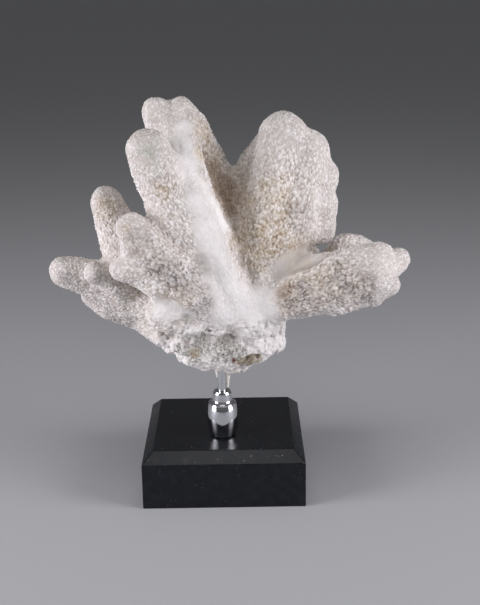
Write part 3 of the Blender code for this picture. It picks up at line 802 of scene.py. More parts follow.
pitted = pit_share(broken_points, PITS, PIT_SEED)
wandered = broken_points + CRACK_WANDER * np.stack(
    [waves(broken_points, CRACK_LENGTH, PIT_SEED + axis) for axis in range(3)], 1)
crack = np.clip(1 - distance_to_lines(wandered, CRACKS) / CRACK_WIDTH, 0, None)
chips -= PIT_DEPTH * PIT_RADII[1] * pitted + CRACK_DEPTH * crack
points[broken] += normals[broken] * (chips * ramp(foot[broken], 0.0, FULL_FOOT))[:, None]
pit = np.zeros(len(points))
pit[broken] = np.maximum(pitted, crack)
normals = normals_at(points)
print("foot with pits and cracks:", round(float(np.ptp(chips) / MM), 1), "mm from low to high")

# %% [markdown]
# ## Where the warts sit
# Warts on this coral are one to two millimetres apart, never in rows and never on top of each
# other. Random places would clump, and a grid would show. So many random candidates are drawn
# from the skin's points, each with a random rank. A candidate becomes a wart if no other within
# the least distance has a higher rank, its neighbours drop out, and this repeats until none wait.

# %% Well spaced places
STRETCH = 1.35  # warts are this much longer along the finger than across it


def stretched_square(between, ways):
    """The square of a distance whose part along the growth direction counts less, over STRETCH."""
    along = (between * ways).sum(1)
    return (between**2).sum(1) - along**2 * (1 - 1 / STRETCH**2)


def spread_out(places, ways, spacing, seed):
    """Indexes of well spaced candidates, by repeated local winners of a random rank."""
    firsts, seconds = [], []
    for first, second in near_pairs(places, places, spacing.max() * STRETCH):
        square = stretched_square(places[first] - places[second], ways[first])
        least = (spacing[first] + spacing[second]) / 2
        close = (square < least**2) & (first != second)
        firsts += [first[close], second[close]]
        seconds += [second[close], first[close]]
    first, second = np.concatenate(firsts), np.concatenate(seconds)
    rank = np.random.default_rng(seed).permutation(len(places))
    waiting = np.ones(len(places), bool)
    chosen = np.zeros(len(places), bool)
    while waiting.any():
        both = waiting[first] & waiting[second]
        first, second = first[both], second[both]
        best = np.full(len(places), -1)
        np.maximum.at(best, first, rank[second])
        winners = waiting & (rank > best)
        chosen |= winners
        waiting &= ~winners
        waiting[second[winners[first]]] = False
    return np.nonzero(chosen)[0]


# %% [markdown]
# ## Soft patches
# Some things differ from place to place. The trunk's middle is worn smooth, some warts are taller
# or coarser, and there are tan, brown, grey, greenish, ochre and dark red patches. The tan, brown
# and grey ones are partly stains and partly painted shade in valleys and on shaded flanks, the
# greenish ones on the foot are painted shade in recesses, and the rest are stains. A patch is a
# soft ball, (x, y, z, radius) in millimetres. Several of one kind never add up to more than 1.

# %% Patches
PATCHES = {
    "worn": (
        (-12, -40, 190, 12), (-6, -42, 175, 14), (-4, -44, 161, 15), (0, -46, 147, 15), (8, -45, 134, 17),
        (18, -42, 124, 17), (27, -36, 127, 14), (-16, -32, 204, 11), (-18, -20, 220, 10),
        (38, -28, 143, 11), (46, -22, 147, 12), (55, -18, 150, 11), (-17, -10, 232, 9),
        (-14, -22, 212, 10), (-34, -47, 124.5, 9), (34, -31, 117, 12), (57, -6, 186, 10),
        (2, -46, 118, 15), (22, -38, 113, 12), (-21, -15, 221, 11), (-24, -13, 213, 10),
        (-19, -23, 211, 10), (-22, -8, 228, 8), (-27, -50, 128, 9), (-20, -48, 123.5, 7),
        (-32, -50, 131, 7), (52, -14, 150, 9), (42, -24, 146, 11), (-8, -30, 196, 7), (-3, -33, 188, 7),
        (0, -33, 181, 7), (3, -33, 174, 7),
    ),
    "toothed": (
        (-2, 3, 214, 15), (-9, 6, 231, 14), (4, 3, 198, 12), (-50, -32, 206, 13), (-46, -34, 192, 11),
        (22, 8, 208, 14), (14, 6, 196, 10), (-70, -8, 170, 14), (63, 0, 190, 14), (63, 0, 170, 12),
    ),
    "coarse": (
        (40, -4, 200, 36), (30, -6, 168, 30), (70, -30, 140, 40), (40, 40, 170, 40), (10, 60, 125, 34),
        (-30, -48, 158, 26),
    ),
    # tan: partly stains, partly painted shade in the valley and on shaded flanks
    "tan": (
        (14, -15, 181, 12), (17, -24, 165, 14), (8, -10, 184, 13), (2, -3, 194, 14), (20, -30, 154, 9),
        (24, -26, 178, 16), (34, -20, 190, 15), (40, -22, 174, 14), (34, -26, 160, 14), (-7, 0, 206, 13),
        (-11, 1, 222, 12), (-9, -14, 212, 9), (-2, -14, 196, 10), (-69, -9, 180, 10), (-31, -43, 196, 9),
        (38, -46, 134, 14), (52, -48, 140, 18), (-46, -52, 166, 9), (24, -31, 150, 9), (46, -20, 148, 14),
        (66, -49, 144, 17), (80, -46, 140, 12), (28, -22, 172, 11), (-30, 40, 160, 16), (20, 30, 140, 20),
        (-34, 20, 128, 16), (60, 20, 140, 14), (-52, -46, 174, 6), (-24, -52, 138, 12),
        (-36, -56, 156, 9), (48, -14, 152, 14),
    ),
    # brown: painted shade in the valley, partly a brown stain
    "brown": (
        (3, -7, 185, 12), (1, -4, 191, 10), (5, -12, 177, 7), (3, 0, 186, 11), (37, -45, 137, 9),
        (-5, 0, 200, 9), (10, 18, 150, 12),
    ),
    # grey: partly stains, partly painted shade on flanks and fronts that face away from the lights
    "grey": (
        (37, -47, 134, 12), (48, -49, 140, 10), (-26, -52, 146, 14), (-12, -48, 136, 13),
        (-37, -54, 156, 12), (-46, -52, 168, 11), (-78, -22, 131, 14), (72, -48, 142, 20),
        (50, -46, 130, 14), (86, -47, 136, 12), (-8, -46, 152, 10), (48, -20, 174, 12), (0, 60, 116, 24),
        (-60, -10, 112, 18), (-90, -22, 140, 8), (50, -8, 150, 12), (-8, -6, 216, 9), (-6, -5, 206, 9),
        (-3, -9, 197, 8), (58, 2, 150, 8),
    ),
    "stone": (
        (-22, -42, 106, 7), (-11, -43, 106, 7), (-14, -46, 103, 11), (2, -42, 100, 12), (-27, -40, 99, 7),
        (-18, -46, 98, 9), (10, -38, 96, 8), (0, 14, 92, 22), (-26, -6, 96, 14), (24, 4, 90, 14),
    ),
    # green: the two spots on the foot are painted shade in recesses; those on the tips are stains
    "green": (
        (-39, -42, 217, 9), (-30, -47, 205, 6), (-19.5, -47, 121.5, 4.5), (-14, -47, 108, 4),
    ),
    "ochre": (
        (8, -38, 88, 5), (12, -36, 87.5, 7), (17, -33, 87.5, 7), (21, -31, 89, 5), (11, -31, 88.5, 6),
        (16, -30, 88.5, 7), (20, -29.5, 88, 6), (-16, -44.5, 99, 4.5), (-19, -46, 97.5, 3),
        (-58.6, -44, 169.8, 2.2),
    ),
    "red": (
        (7.6, -39.3, 91.8, 2.1), (-6.5, -42.8, 111.8, 1.7), (4, -40, 110.8, 1.2), (12, -37, 110.5, 1.5),
    ),
}
# kinds of patch that tint the skin: stains, and in part painted shade
STAINS_AND_SHADE = ("tan", "grey", "stone", "brown", "green", "ochre", "red")
TIP_LENGTHS = (-4.0 * MM, 20.0 * MM)  # from a tip: where its own finish is full and where it ends

patch = {kind: patch_share(points, balls) for kind, balls in PATCHES.items()}
tip = (1 - ramp(from_tip, *TIP_LENGTHS)) * (1 - foot)
print("share of the skin:", {kind: round(float(share.mean()), 3) for kind, share in patch.items()})

# %% [markdown]
# ## The warts
# Like a real cauliflower, the skin has knobs with smaller grains on them. Both are made alike, in
# two layers. One wart is a dome. Its height falls from the middle as a power of one less the
# distance squared, so its sides are steep and meet the next wart's in a groove. Where domes
# overlap the higher one wins. Each differs in height and width, and it leans to the fingertip,
# which gives the outline its small teeth.

# %% A layer of warts
CANDIDATE_SHARE = 0.5
FULL_SPACING = 0.925 * MM  # warts this close together take the full share of candidates
COARSE_SPACING = 1.08  # times the spacing where warts are coarse
TIP_SPACING = 0.88  # times the spacing at the tips
UNEVEN_SPACING, UNEVEN_LENGTH = 0.22, 5.0 * MM
LEAST_HEIGHT = 0.35  # of the full height
WIDTH_SPREAD = 0.22
DOME_POWER = 0.7


def dome_field(points, sites, ways, radii, heights):
    """The highest dome at each point: height (1 - d^2)^power, where d is distance over radius."""
    field = np.zeros(len(points))
    for point, site in near_pairs(points, sites, radii.max() * math.sqrt(STRETCH)):
        square = stretched_square(points[point] - sites[site], ways[site])
        inside = np.clip(1 - square / radii[site] ** 2, 0, None)
        field[point] = np.maximum(field[point], heights[site] * inside**DOME_POWER)
    return field


def wart_layer(spacing, width, seed):
    """One layer of domes, from 0 to 1: how high the skin rises at each point.

    The spacing is the least distance between two warts; the width is a dome's radius over it.
    """
    random = np.random.default_rng(seed)
    spaces = spacing * faded(patch["coarse"], COARSE_SPACING) * faded(tip, TIP_SPACING)
    spaces *= 1 + UNEVEN_SPACING * waves(points, UNEVEN_LENGTH, seed)
    share = CANDIDATE_SHARE * min(1.0, (FULL_SPACING / spacing) ** 2)
    candidates = np.nonzero(random.random(len(points)) < share)[0]
    chosen = spread_out(points[candidates], flat_way[candidates], spaces[candidates], seed)
    sites = candidates[chosen]
    radii = width * spaces[sites] * (1 + WIDTH_SPREAD * random.uniform(-1, 1, len(sites)))
    heights = random.uniform(LEAST_HEIGHT, 1, len(sites))
    print("warts at least", round(spacing / MM, 1), "mm apart:", len(sites))
    return dome_field(points, points[sites], flat_way[sites], radii, heights)


# %% Raise the warts
KNOB_SPACING, KNOB_HEIGHT, KNOB_WIDTH, KNOB_SEED = 1.85 * MM, 0.75 * MM, 0.72, 29
FINE_SPACING, FINE_HEIGHT, FINE_WIDTH, FINE_SEED = 1.05 * MM, 0.78 * MM, 0.74, 11
KNOB_AT_TIP, FINE_AT_TIP = 0.08, 0.6  # of the full height, at the tips
WORN_KNOBS, WORN_GRAINS = 0.12, 0.42  # of the full height, where the skin is worn
WORN_LENGTH, WORN_STRENGTH, WORN_LIMITS = 5.0 * MM, 3.0, (0.0, 1.6)  # of the noise at its edge
LIVING = (0.1, 0.8)  # shares of the foot between which the warts die out
LOW_WARTS = 0.62  # of the full height, where warts are lowest
UNEVEN_HEIGHT_LENGTH, UNEVEN_LIMITS = 9.0 * MM, (-0.9, 0.4)
CRUMBLE_HEIGHT, CRUMBLE_LENGTH = 0.12 * MM, 1.3 * MM
CRUMBLE_AT_TIP, WORN_CRUMBLE = 0.4, 0.5  # of the full height
CRUMBS = 0.5  # height of the grains on the broken foot, over the full height
CRUMB_LENGTH, CRUMB_LIMITS, CRUMB_SEED = 7.0 * MM, (-0.6, 0.5), 37
COARSE_HEIGHT = 1.15  # times the height where warts are coarse
TOOTH_HEIGHT = 1.6  # times the height along the toothed edges
KNOBS_ELSEWHERE = 0.55  # height of the knobs where warts aren't coarse, over the full height
KNOB_PART = 0.45  # of the wart height that the finish uses; the grains are the rest
WART_LEAN = 0.65
HOLE = (-45.7, -50.9, 168.6, 1.0)  # a single small hole on a knob: x, y, z, radius in mm
HOLE_DEPTH = 1.2 * MM

flat_way = unit(fine_way - normals * (fine_way * normals).sum(1)[:, None])
knobs = wart_layer(KNOB_SPACING, KNOB_WIDTH, KNOB_SEED)
grains = wart_layer(FINE_SPACING, FINE_WIDTH, FINE_SEED)
alive = 1 - ramp(foot, *LIVING)
uneven = ramp(waves(points, UNEVEN_HEIGHT_LENGTH, CRUMB_SEED + 1), *UNEVEN_LIMITS)
crumbly = CRUMBS * ramp(waves(points, CRUMB_LENGTH, CRUMB_SEED), *CRUMB_LIMITS)
taller = faded(patch["coarse"], COARSE_HEIGHT) * faded(patch["toothed"], TOOTH_HEIGHT)
taller *= faded(1 - uneven, LOW_WARTS)
wander = waves(points, WORN_LENGTH, CRUMB_SEED)
worn = patch["worn"] * ramp(wander + WORN_STRENGTH * patch["worn"], *WORN_LIMITS)
knob_lift = alive * faded(tip, KNOB_AT_TIP) * faded(worn, WORN_KNOBS)
knob_lift *= faded(1 - patch["coarse"], KNOBS_ELSEWHERE)
grain_lift = (alive + (1 - alive) * crumbly) * faded(tip, FINE_AT_TIP)
grain_lift *= faded(worn * alive, WORN_GRAINS)
lift = taller * (KNOB_HEIGHT * knobs * knob_lift + FINE_HEIGHT * grains * grain_lift)
crumble = CRUMBLE_HEIGHT * waves(points, CRUMBLE_LENGTH, CRUMB_SEED + 2)
lift += crumble * faded(tip, CRUMBLE_AT_TIP) * faded(worn, WORN_CRUMBLE)
# where the warts rise; the material paints the grooves between them darker, as shade
wart = KNOB_PART * knobs + (1 - KNOB_PART) * grains
points = points + (normals + flat_way * (WART_LEAN * (1 - tip) * alive)[:, None]) * lift[:, None]
hole = ball(points, *HOLE)
points -= normals * (HOLE_DEPTH * hole)[:, None]
pit = np.maximum(pit, hole)
print("mean wart height in mm:", round(float(lift[foot < 0.1].mean() / MM), 2))

# %% [markdown]
# ## Fewer triangles where they don't show
# The skin now has more triangles than a reusable model should have, and many of them lie on the
# smooth sides of warts. Collapsing the edges that matter least keeps the grooves and the outline.
# The values for the finish and for the painted shade stay with the points.

# %% Thin the skin
MOST_TRIANGLES = 915_000
# values the material reads, with the hollow, wart and pit values that it paints as shade
FINISH_AND_SHADE = {"wart": wart, "foot": foot, "tip": tip, "hollow": hollow, "pit": pit, "worn": worn}
FINISH_AND_SHADE.update({kind: patch[kind] for kind in STAINS_AND_SHADE})

for name, values in FINISH_AND_SHADE.items():
    keep_value(fine, "finish_" + name, values)
fine.vertices.foreach_set("co", points.astype(np.float32).ravel())
fine.update()
thick = object_from("thick_skin", fine)
thinner = thick.modifiers.new("thinner", "DECIMATE")
thinner.ratio = MOST_TRIANGLES / (2 * len(quads))
thinner.use_collapse_triangulate = True
thin = evaluated_mesh(thick)
skin_rows = np.column_stack(
    [values_of(thin.vertices, "co", 3), values_of(thin.vertex_normals, "vector", 3)]
    + [values_of(thin.attributes["finish_" + name].data, "value", 1) for name in FINISH_AND_SHADE])
skin_triangles = np.empty(len(thin.polygons) * 3, np.int32)
thin.polygons.foreach_get("vertices", skin_triangles)
skin_triangles = skin_triangles.reshape(-1, 3).astype(np.int64)
print("thinned skin:", len(skin_triangles), "triangles")

# %% [markdown]
# ## The split at the forks
# Each branch is a piece of its own, as in the frame. The cuts are the same planes: a point goes
# to the fork site with the least squared distance less reach squared. A plane cuts each triangle
# that crosses it into smaller ones, new points lie where the edges cross, and a flat lid closes
# the cut. Neighbours share their rim and its outward directions, so that no seam shows.

# %% Planes of the forks
FORK_SITES = {
    "coral_holdfast": (6, -14, 98, 34),
    "coral_upper_left_branch": (-12, -12, 166, 0),
    "coral_left_branch": (-36, -22, 148, 0),
    "coral_low_left_branch": (-54, -14, 122, 0),
    "coral_right_blade": (40, 0, 168, 0),
    "coral_low_right_branch": (50, -26, 142, 0),
    "coral_rear_right_branch": (50, 18, 127, 0),
    "coral_back_left_branch": (-20, 28, 136, 0),
    "coral_back_right_branch": (36, 34, 158, 0),
    "coral_back_branch": (9, 42, 122, 0),
}


def fork_plane(name, other_name):
    """The cut between two branches: a point on it, and the direction towards the other."""
    *own, own_reach = np.array(FORK_SITES[name]) * MM
    *other, other_reach = np.array(FORK_SITES[other_name]) * MM
    between = np.subtract(other, own)
    distance = np.linalg.norm(between)
    along = (distance**2 + own_reach**2 - other_reach**2) / (2 * distance)
    return own + between / distance * along, between / distance


print("forks of", len(FORK_SITES), "branches")

# %% [markdown]
# A cut leaves a flat hole with a bent rim, which a lid has to close. A fan from the middle would
# fold over itself where the rim bends in. A net of triangles between the rim's own points fits
# any outline, and those outside it are left away: round them the rim doesn't turn.

# %% Lids
ALL_TRIANGLES = 0  # the kind of net wanted: all triangles, those outside the rim too
SAME_POINT = 1e-7  # in mm
LID_GUIDE = (0.3, 0.5, 0.8)  # a direction that no cut faces, to turn each lid's own axes from


def turns_round(places, starts, ends):
    """How often the rim runs round each place: its edges that cross the ray to the right, signed."""
    x, y = places.T[:, :, None]
    (x1, y1), (x2, y2) = starts.T[:, None], ends.T[:, None]
    upward = (y1 <= y) & (y2 > y)
    downward = (y2 <= y) & (y1 > y)
    side = (x2 - x1) * (y - y1) - (x - x1) * (y2 - y1)
    return (upward & (side > 0)).sum(1) - (downward & (side < 0)).sum(1)


def lid(rows, edges, place, away):
    """Closes a cut: a net of triangles over the rim's points, less those outside the rim.

    Where the rim crosses itself the net needs a point of its own, which takes the mean values.
    """
    x_axis = unit(np.cross(away, LID_GUIDE))
    axes = np.stack((x_axis, np.cross(away, x_axis)))
    rim, edges = np.unique(edges, return_inverse=True)
    edges = edges.reshape(-1, 2)
    flat = (rows[rim, :3] - place) @ axes.T / MM
    net, _, faces, sources, _, _ = delaunay_2d_cdt(
        [Vector(point) for point in flat], edges.tolist(), [], ALL_TRIANGLES, SAME_POINT)
    net, faces = np.array(net), np.array(faces)
    inside = turns_round(net[faces].mean(1), flat[edges[:, 0]], flat[edges[:, 1]]) != 0
    added = [index for index, source in enumerate(sources) if not source]
    index = np.array([rim[source[0]] if source else -1 for source in sources])
    index[added] = len(rows) + np.arange(len(added))
    extra = np.tile(rows[rim].mean(0), (len(added), 1))
    extra[:, :3] = place + net[added] @ axes * MM
    return np.vstack((rows, extra)), index[faces[inside]]


square = np.array(((0, 0), (1, 0), (1, 1), (0, 1)))
middle = np.array(((0.5, 0.5),))
print("turns of a square round its middle:", turns_round(middle, square, np.roll(square, -1, 0)))

# %% [markdown]
# Now the cut itself, on plain arrays of points and triangles. Points keep their values, and a new
# point gets the mean of its edge's ends by the place where the plane crosses it.


# %% Cut a closed surface
def cut_off(rows, triangles, place, away):
    """What lies behind the plane. A row holds a point's place and its values.

    Each crossing triangle has one corner alone on its side. The two edges at that corner get a
    new point each, at the place where the signed distance to the plane is 0.
    """
    distance = (rows[:, :3] - place) @ away
    inside = distance < 0
    count = inside[triangles].sum(1)
    if (count == 3).all():
        return rows, triangles
    crossing = triangles[(count == 1) | (count == 2)]
    tips = inside[crossing].sum(1) == 1
    alone = inside[crossing] == tips[:, None]
    turn = (alone.argmax(1)[:, None] + np.arange(3)) % 3
    corners = crossing[np.arange(len(crossing))[:, None], turn]
    edges = np.sort(np.vstack((corners[:, [0, 1]], corners[:, [0, 2]])), 1)
    edges, which = np.unique(edges, axis=0, return_inverse=True)
    low, high = edges.T
    t = (distance[low] / (distance[low] - distance[high]))[:, None]
    on_second, on_third = len(rows) + which.reshape(2, -1)
    rows = np.vstack((rows, rows[low] + t * (rows[high] - rows[low])))
    first, second, third = corners.T
    tip_faces = np.stack((first, on_second, on_third), 1)[tips]
    wide_faces = np.stack((on_second, second, third, on_second, third, on_third), 1)[~tips]
    wide_faces = wide_faces.reshape(-1, 3)
    starts = np.where(tips, on_third, on_second)
    ends = np.where(tips, on_second, on_third)
    rows, lid_faces = lid(rows, np.stack((starts, ends), 1), place, away)
    triangles = np.vstack((triangles[count == 3], tip_faces, wide_faces, lid_faces))
    used, triangles = np.unique(triangles, return_inverse=True)
    return rows[used], triangles.reshape(-1, 3)


# %% Cut the pieces
def branch_piece(name):
    """One branch as a closed surface with its outward directions, finish values and painted-shade values.
    """
    rows, triangles = skin_rows, skin_triangles
    here = np.array(FORK_SITES[name][:3])
    others = [other for other in FORK_SITES if other != name]
    for other in sorted(others, key=lambda other: np.linalg.norm(FORK_SITES[other][:3] - here)):
        rows, triangles = cut_off(rows, triangles, *fork_plane(name, other))
    mesh = mesh_from(name + "_skin", rows[:, :3], triangles)
    mesh.normals_split_custom_set_from_vertices(unit(rows[:, 3:6]))
    for column, value_name in enumerate(FINISH_AND_SHADE):
        keep_value(mesh, value_name, rows[:, 6 + column])
    return object_from(name + "_skin", mesh)


coral_pieces = {name: branch_piece(name) for name in FORK_SITES}
for name, piece in coral_pieces.items():
    print(name, len(piece.data.polygons), "triangles")

# %% [markdown]
# ## Bleached coral
# The skeleton is aragonite, a chalky mineral, bleached in the sun. It is matt and warm white on
# its warts. Painted shade darkens the grooves between them, the hollows, the tips and their
# dimples, and the foot's pits and cracks. Some places are tan, brown, grey or greenish, partly
# stains and partly painted shade. The tips have fine dimples, where the polyps sat. The pattern
# follows the surface through the values stored on its points. It could be painted by hand.
# Instead three tables say which values and noises are steepened, which are joined, and which
# colour each of them lays on.

# %% Coral material
NOISES = {  # width in mm, detail; the mineral's grain is finer, but this is what still shows
    "grain": (0.5, 3.0), "speckle": (1.4, 4.0), "blotch": (2.5, 3.0), "mottle": (7.0, 4.0),
}
DIMPLE = 1.1 * MM
DIMPLE_DEPTH, GRAIN_DEPTH = 0.15 * MM, 0.22 * MM
STEEPENED = (  # new value, its source, where it starts and where it is full
    ("raised", "wart", 0.05, 0.7), ("near_tip", "tip", 0.1, 0.8), ("spot", "cell", 0.6, 0.1),
    ("patchy", "mottle", 0.3, 0.62), ("faint", "mottle", 0.3, 0.6),
    ("speckled", "speckle", 0.4, 0.62), ("grainy", "grain", 0.35, 0.65),
)
JOINED = (  # new value, operation, first and second
    # the first three values mark the foot, worn places and tips, which get no painted groove shade
    ("unshaded_foot", "MULTIPLY", "foot", 0.85), ("unshaded_worn", "MULTIPLY", "worn", 0.95),
    ("unshaded_tip", "MULTIPLY", "tip", 0.25), ("ridge", "MAXIMUM", "raised", "unshaded_foot"),
    ("ridge", "MAXIMUM", "ridge", "unshaded_worn"), ("ridge", "MAXIMUM", "ridge", "unshaded_tip"),
    ("half_patchy", "MAXIMUM", "patchy", 0.4), ("half_faint", "MAXIMUM", "faint", 0.4),
    ("mostly", "MAXIMUM", "speckled", 0.75), ("dimple", "MULTIPLY", "spot", "near_tip"),
    ("dimple", "MULTIPLY", "dimple", "half_faint"),
)
LAYERS = (  # a value, times a pattern, start, full, strength; what its colours follow, colours
    # grooves between the warts are painted darker than the ridges, as shade
    ("all", "all", 0.0, 1.0, 1.0, "ridge", "#BEB3A9", "#F4F0EE"),
    # tan, grey and brown patches: partly stains, partly painted shade
    ("tan", "half_patchy", 0.0, 1.0, 1.0, "ridge", "#A48D6C", "#EDE3D5"),
    ("grey", "patchy", 0.0, 1.0, 1.0, "ridge", "#77706D", "#C4BEBA"),
    ("stone", "blotch", 0.1, 0.4, 1.0, "speckled", "#7F7E78", "#CFCDC7"),
    ("brown", "all", 0.0, 1.0, 0.8, "ridge", "#6E5743", "#AA937B"),
    ("all", "blotch", 0.42, 0.68, 0.2, "all", "#CFC4BC"),
    # hollows painted darker, as shade
    ("hollow", "all", 0.0, 2.86, 1.0, "all", "#8F7E6E"),
    # tips and their dimples painted a little darker, as shade
    ("tip", "all", 0.0, 1.0, 0.1, "all", "#8F8A88"),
    ("dimple", "all", 0.0, 1.0, 0.45, "all", "#8A8683"),
    # greenish: on the foot painted shade in recesses, elsewhere stains
    ("green", "patchy", 0.0, 1.0, 0.7, "all", "#A3A698"),
    # pits, cracks and the small hole painted darker, as shade
    ("pit", "all", 0.15, 0.9, 1.0, "all", "#8D857E"),
    ("ochre", "blotch", 0.08, 0.45, "mostly", "grainy", "#6A5638", "#B09D78"),
    ("red", "blotch", 0.1, 0.4, 1.0, "all", "#6A3A33"),
)


def bleached_aragonite():
    """Matt chalky white with stains, dimples on its tips, a fine grain, and painted shade in its grooves,
    hollows, dimples and pits.
    """
    material, tree, shader, place = new_material("bleached_aragonite")
    value = {name: add(tree, "Attribute", attribute_name=name).outputs["Fac"] for name in FINISH_AND_SHADE}
    value["all"] = 1.0
    value["cell"] = add(tree, "TexVoronoi", {"Vector": place, "Scale": 1 / DIMPLE})
    for name, (width, detail) in NOISES.items():
        links = {"Vector": place, "Scale": 1 / (width * MM), "Detail": detail}
        value[name] = add(tree, "TexNoise", links)
    for name, source, low, high in STEEPENED:
        links = {"Value": value[source], "From Min": low, "From Max": high}
        value[name] = add(tree, "MapRange", links)
    for name, operation, first, second in JOINED:
        links = {0: value[first], 1: value.get(second, second)}
        value[name] = add(tree, "Math", links, operation=operation)
    colour = linear("#FFFFFF")
    for name, pattern, low, high, strength, follows, *colours in LAYERS:
        part = add(tree, "Math", {0: value[name], 1: value[pattern]}, operation="MULTIPLY")
        share = add(tree, "MapRange", {"Value": part, "From Min": low, "From Max": high,
                                       "To Max": value.get(strength, strength)})
        tones = {0: value[follows], 6: linear(colours[0]), 7: linear(colours[-1])}
        tint = add(tree, "Mix", tones, data_type="RGBA").outputs[2]
        colour = add(tree, "Mix", {0: share, 6: colour, 7: tint}, data_type="RGBA").outputs[2]
    dimpled = add(tree, "Bump", {"Height": value["dimple"], "Strength": 1.0,
                                 "Distance": DIMPLE_DEPTH}, invert=True)
    grained = add(tree, "Bump", {"Height": value["grain"], "Strength": 0.8,
                                 "Distance": GRAIN_DEPTH, "Normal": dimpled})
    feed(tree, shader, {"Base Color": colour, "Roughness": 0.85, "Normal": grained})
    return material


coral_material = bleached_aragonite()
for name, piece in coral_pieces.items():
    finish_piece(piece, coral_material, name)

# %% [markdown]
# ## The block
# The block is wood, sawn square, with a wide bevel round its top and a few coats of black satin
# paint. A cube with a Bevel modifier would do, but here the outline is wanted exactly. A profile
# from the middle of the underside over the edge to the middle of the top is carried round a
# square with slightly rounded corners.

# %% The block's surface
BASE_HALF = 50.0 * MM
BASE_HEIGHT = 35.5 * MM
BASE_CHAMFER = 6.8 * MM
BASE_EDGE = 0.5 * MM
BASE_CORNER = 0.6 * MM
ARC_STEPS = 5
FLAT_RINGS = (0.6, 0.3)  # of the half width: the first ring underneath and the last on top
EDGE_FRAME = 0.15 * MM  # a narrow strip beside each edge keeps the wide faces flat in the light


def rounded_corners(corners, radius, steps):
    """An open line with each inner corner replaced by an arc, and a strip's end on both sides.

    The arc's points are a (1-t)^2 + 2 b t (1-t) + c t^2, from a before the corner b to c after it.
    """
    corners = np.array(corners)
    t = np.linspace(0, 1, steps)[:, None]
    line, on_arc = [corners[:1]], [[0.0]]
    for before, corner, after in zip(corners, corners[1:], corners[2:]):
        back, forth = unit(before - corner), unit(after - corner)
        start, end = corner + radius * back, corner + radius * forth
        arc = start * (1 - t) ** 2 + 2 * corner * t * (1 - t) + end * t**2
        line += [start[None] + EDGE_FRAME * back, arc, end[None] + EDGE_FRAME * forth]
        on_arc += [[0.0], 1 - np.abs(2 * t[:, 0] - 1), [0.0]]
    return np.vstack(line + [corners[-1:]]), np.concatenate(on_arc + [[0.0]])


def stacked(flat, heights):
    """Points of rings: each ring's flat places at the ring's height."""
    heights = np.broadcast_to(heights, (*flat.shape[:2], 1))
    return np.concatenate((flat, heights), 2).reshape(-1, 3)


def block_surface():
    """Points, faces and edge wear of the block.

    Ring k is a square of half width w_k with corners of radius r, at height z_k. Its corner
    points are the corner's middle (w - r) plus r (cos a, sin a) in each quarter.
    """
    inner = BASE_HALF - BASE_CHAMFER
    profile, wear = rounded_corners((
        (FLAT_RINGS[0] * BASE_HALF, 0.0), (BASE_HALF, 0.0), (BASE_HALF, BASE_HEIGHT - BASE_CHAMFER),
        (inner, BASE_HEIGHT), (FLAT_RINGS[1] * BASE_HALF, BASE_HEIGHT)), BASE_EDGE, ARC_STEPS)
    quarter = np.radians(np.linspace(0, 90, ARC_STEPS))
    turn = np.concatenate([quarter + math.radians(90 * side) for side in range(4)])
    signs = np.repeat([(1, 1), (-1, 1), (-1, -1), (1, -1)], ARC_STEPS, axis=0)
    rounds = np.stack((np.cos(turn), np.sin(turn)), 1) * BASE_CORNER
    flat = signs * (profile[:, None, :1] - BASE_CORNER) + rounds
    points = stacked(flat, profile[:, None, 1:])
    sides = len(turn)
    faces = ring_quads(len(profile), sides).tolist()
    last = (len(profile) - 1) * sides
    faces += [list(range(sides))[::-1], list(range(last, last + sides))]
    return points, faces, np.repeat(wear, sides)


block_points, block_faces, block_wear = block_surface()
block = object_from("painted_block", mesh_from("painted_block", block_points, block_faces))
keep_value(block.data, "edge_wear", block_wear)
print("block:", len(block_faces), "faces")

# %% [markdown]
# Satin paint on wood is smooth but not flat: brush and grain leave it very slightly wavy, and it
# blurs what it reflects. A few specks of white dust lie on it, chalk from the coral, more on the
# right than on the left. A cell pattern gives one possible speck a cell, and few cells have one.

# %% Black satin paint
SPECK_CELL = 2.2 * MM
SPECK_SIZE = 0.1  # the largest radius over the cell's width
SPECK_CHANCE = (0.2, 0.9)  # that a cell's speck is there, at the left and at the right
PAINT_WAVE = 5.0 * MM
SCUFF = 2.0 * MM


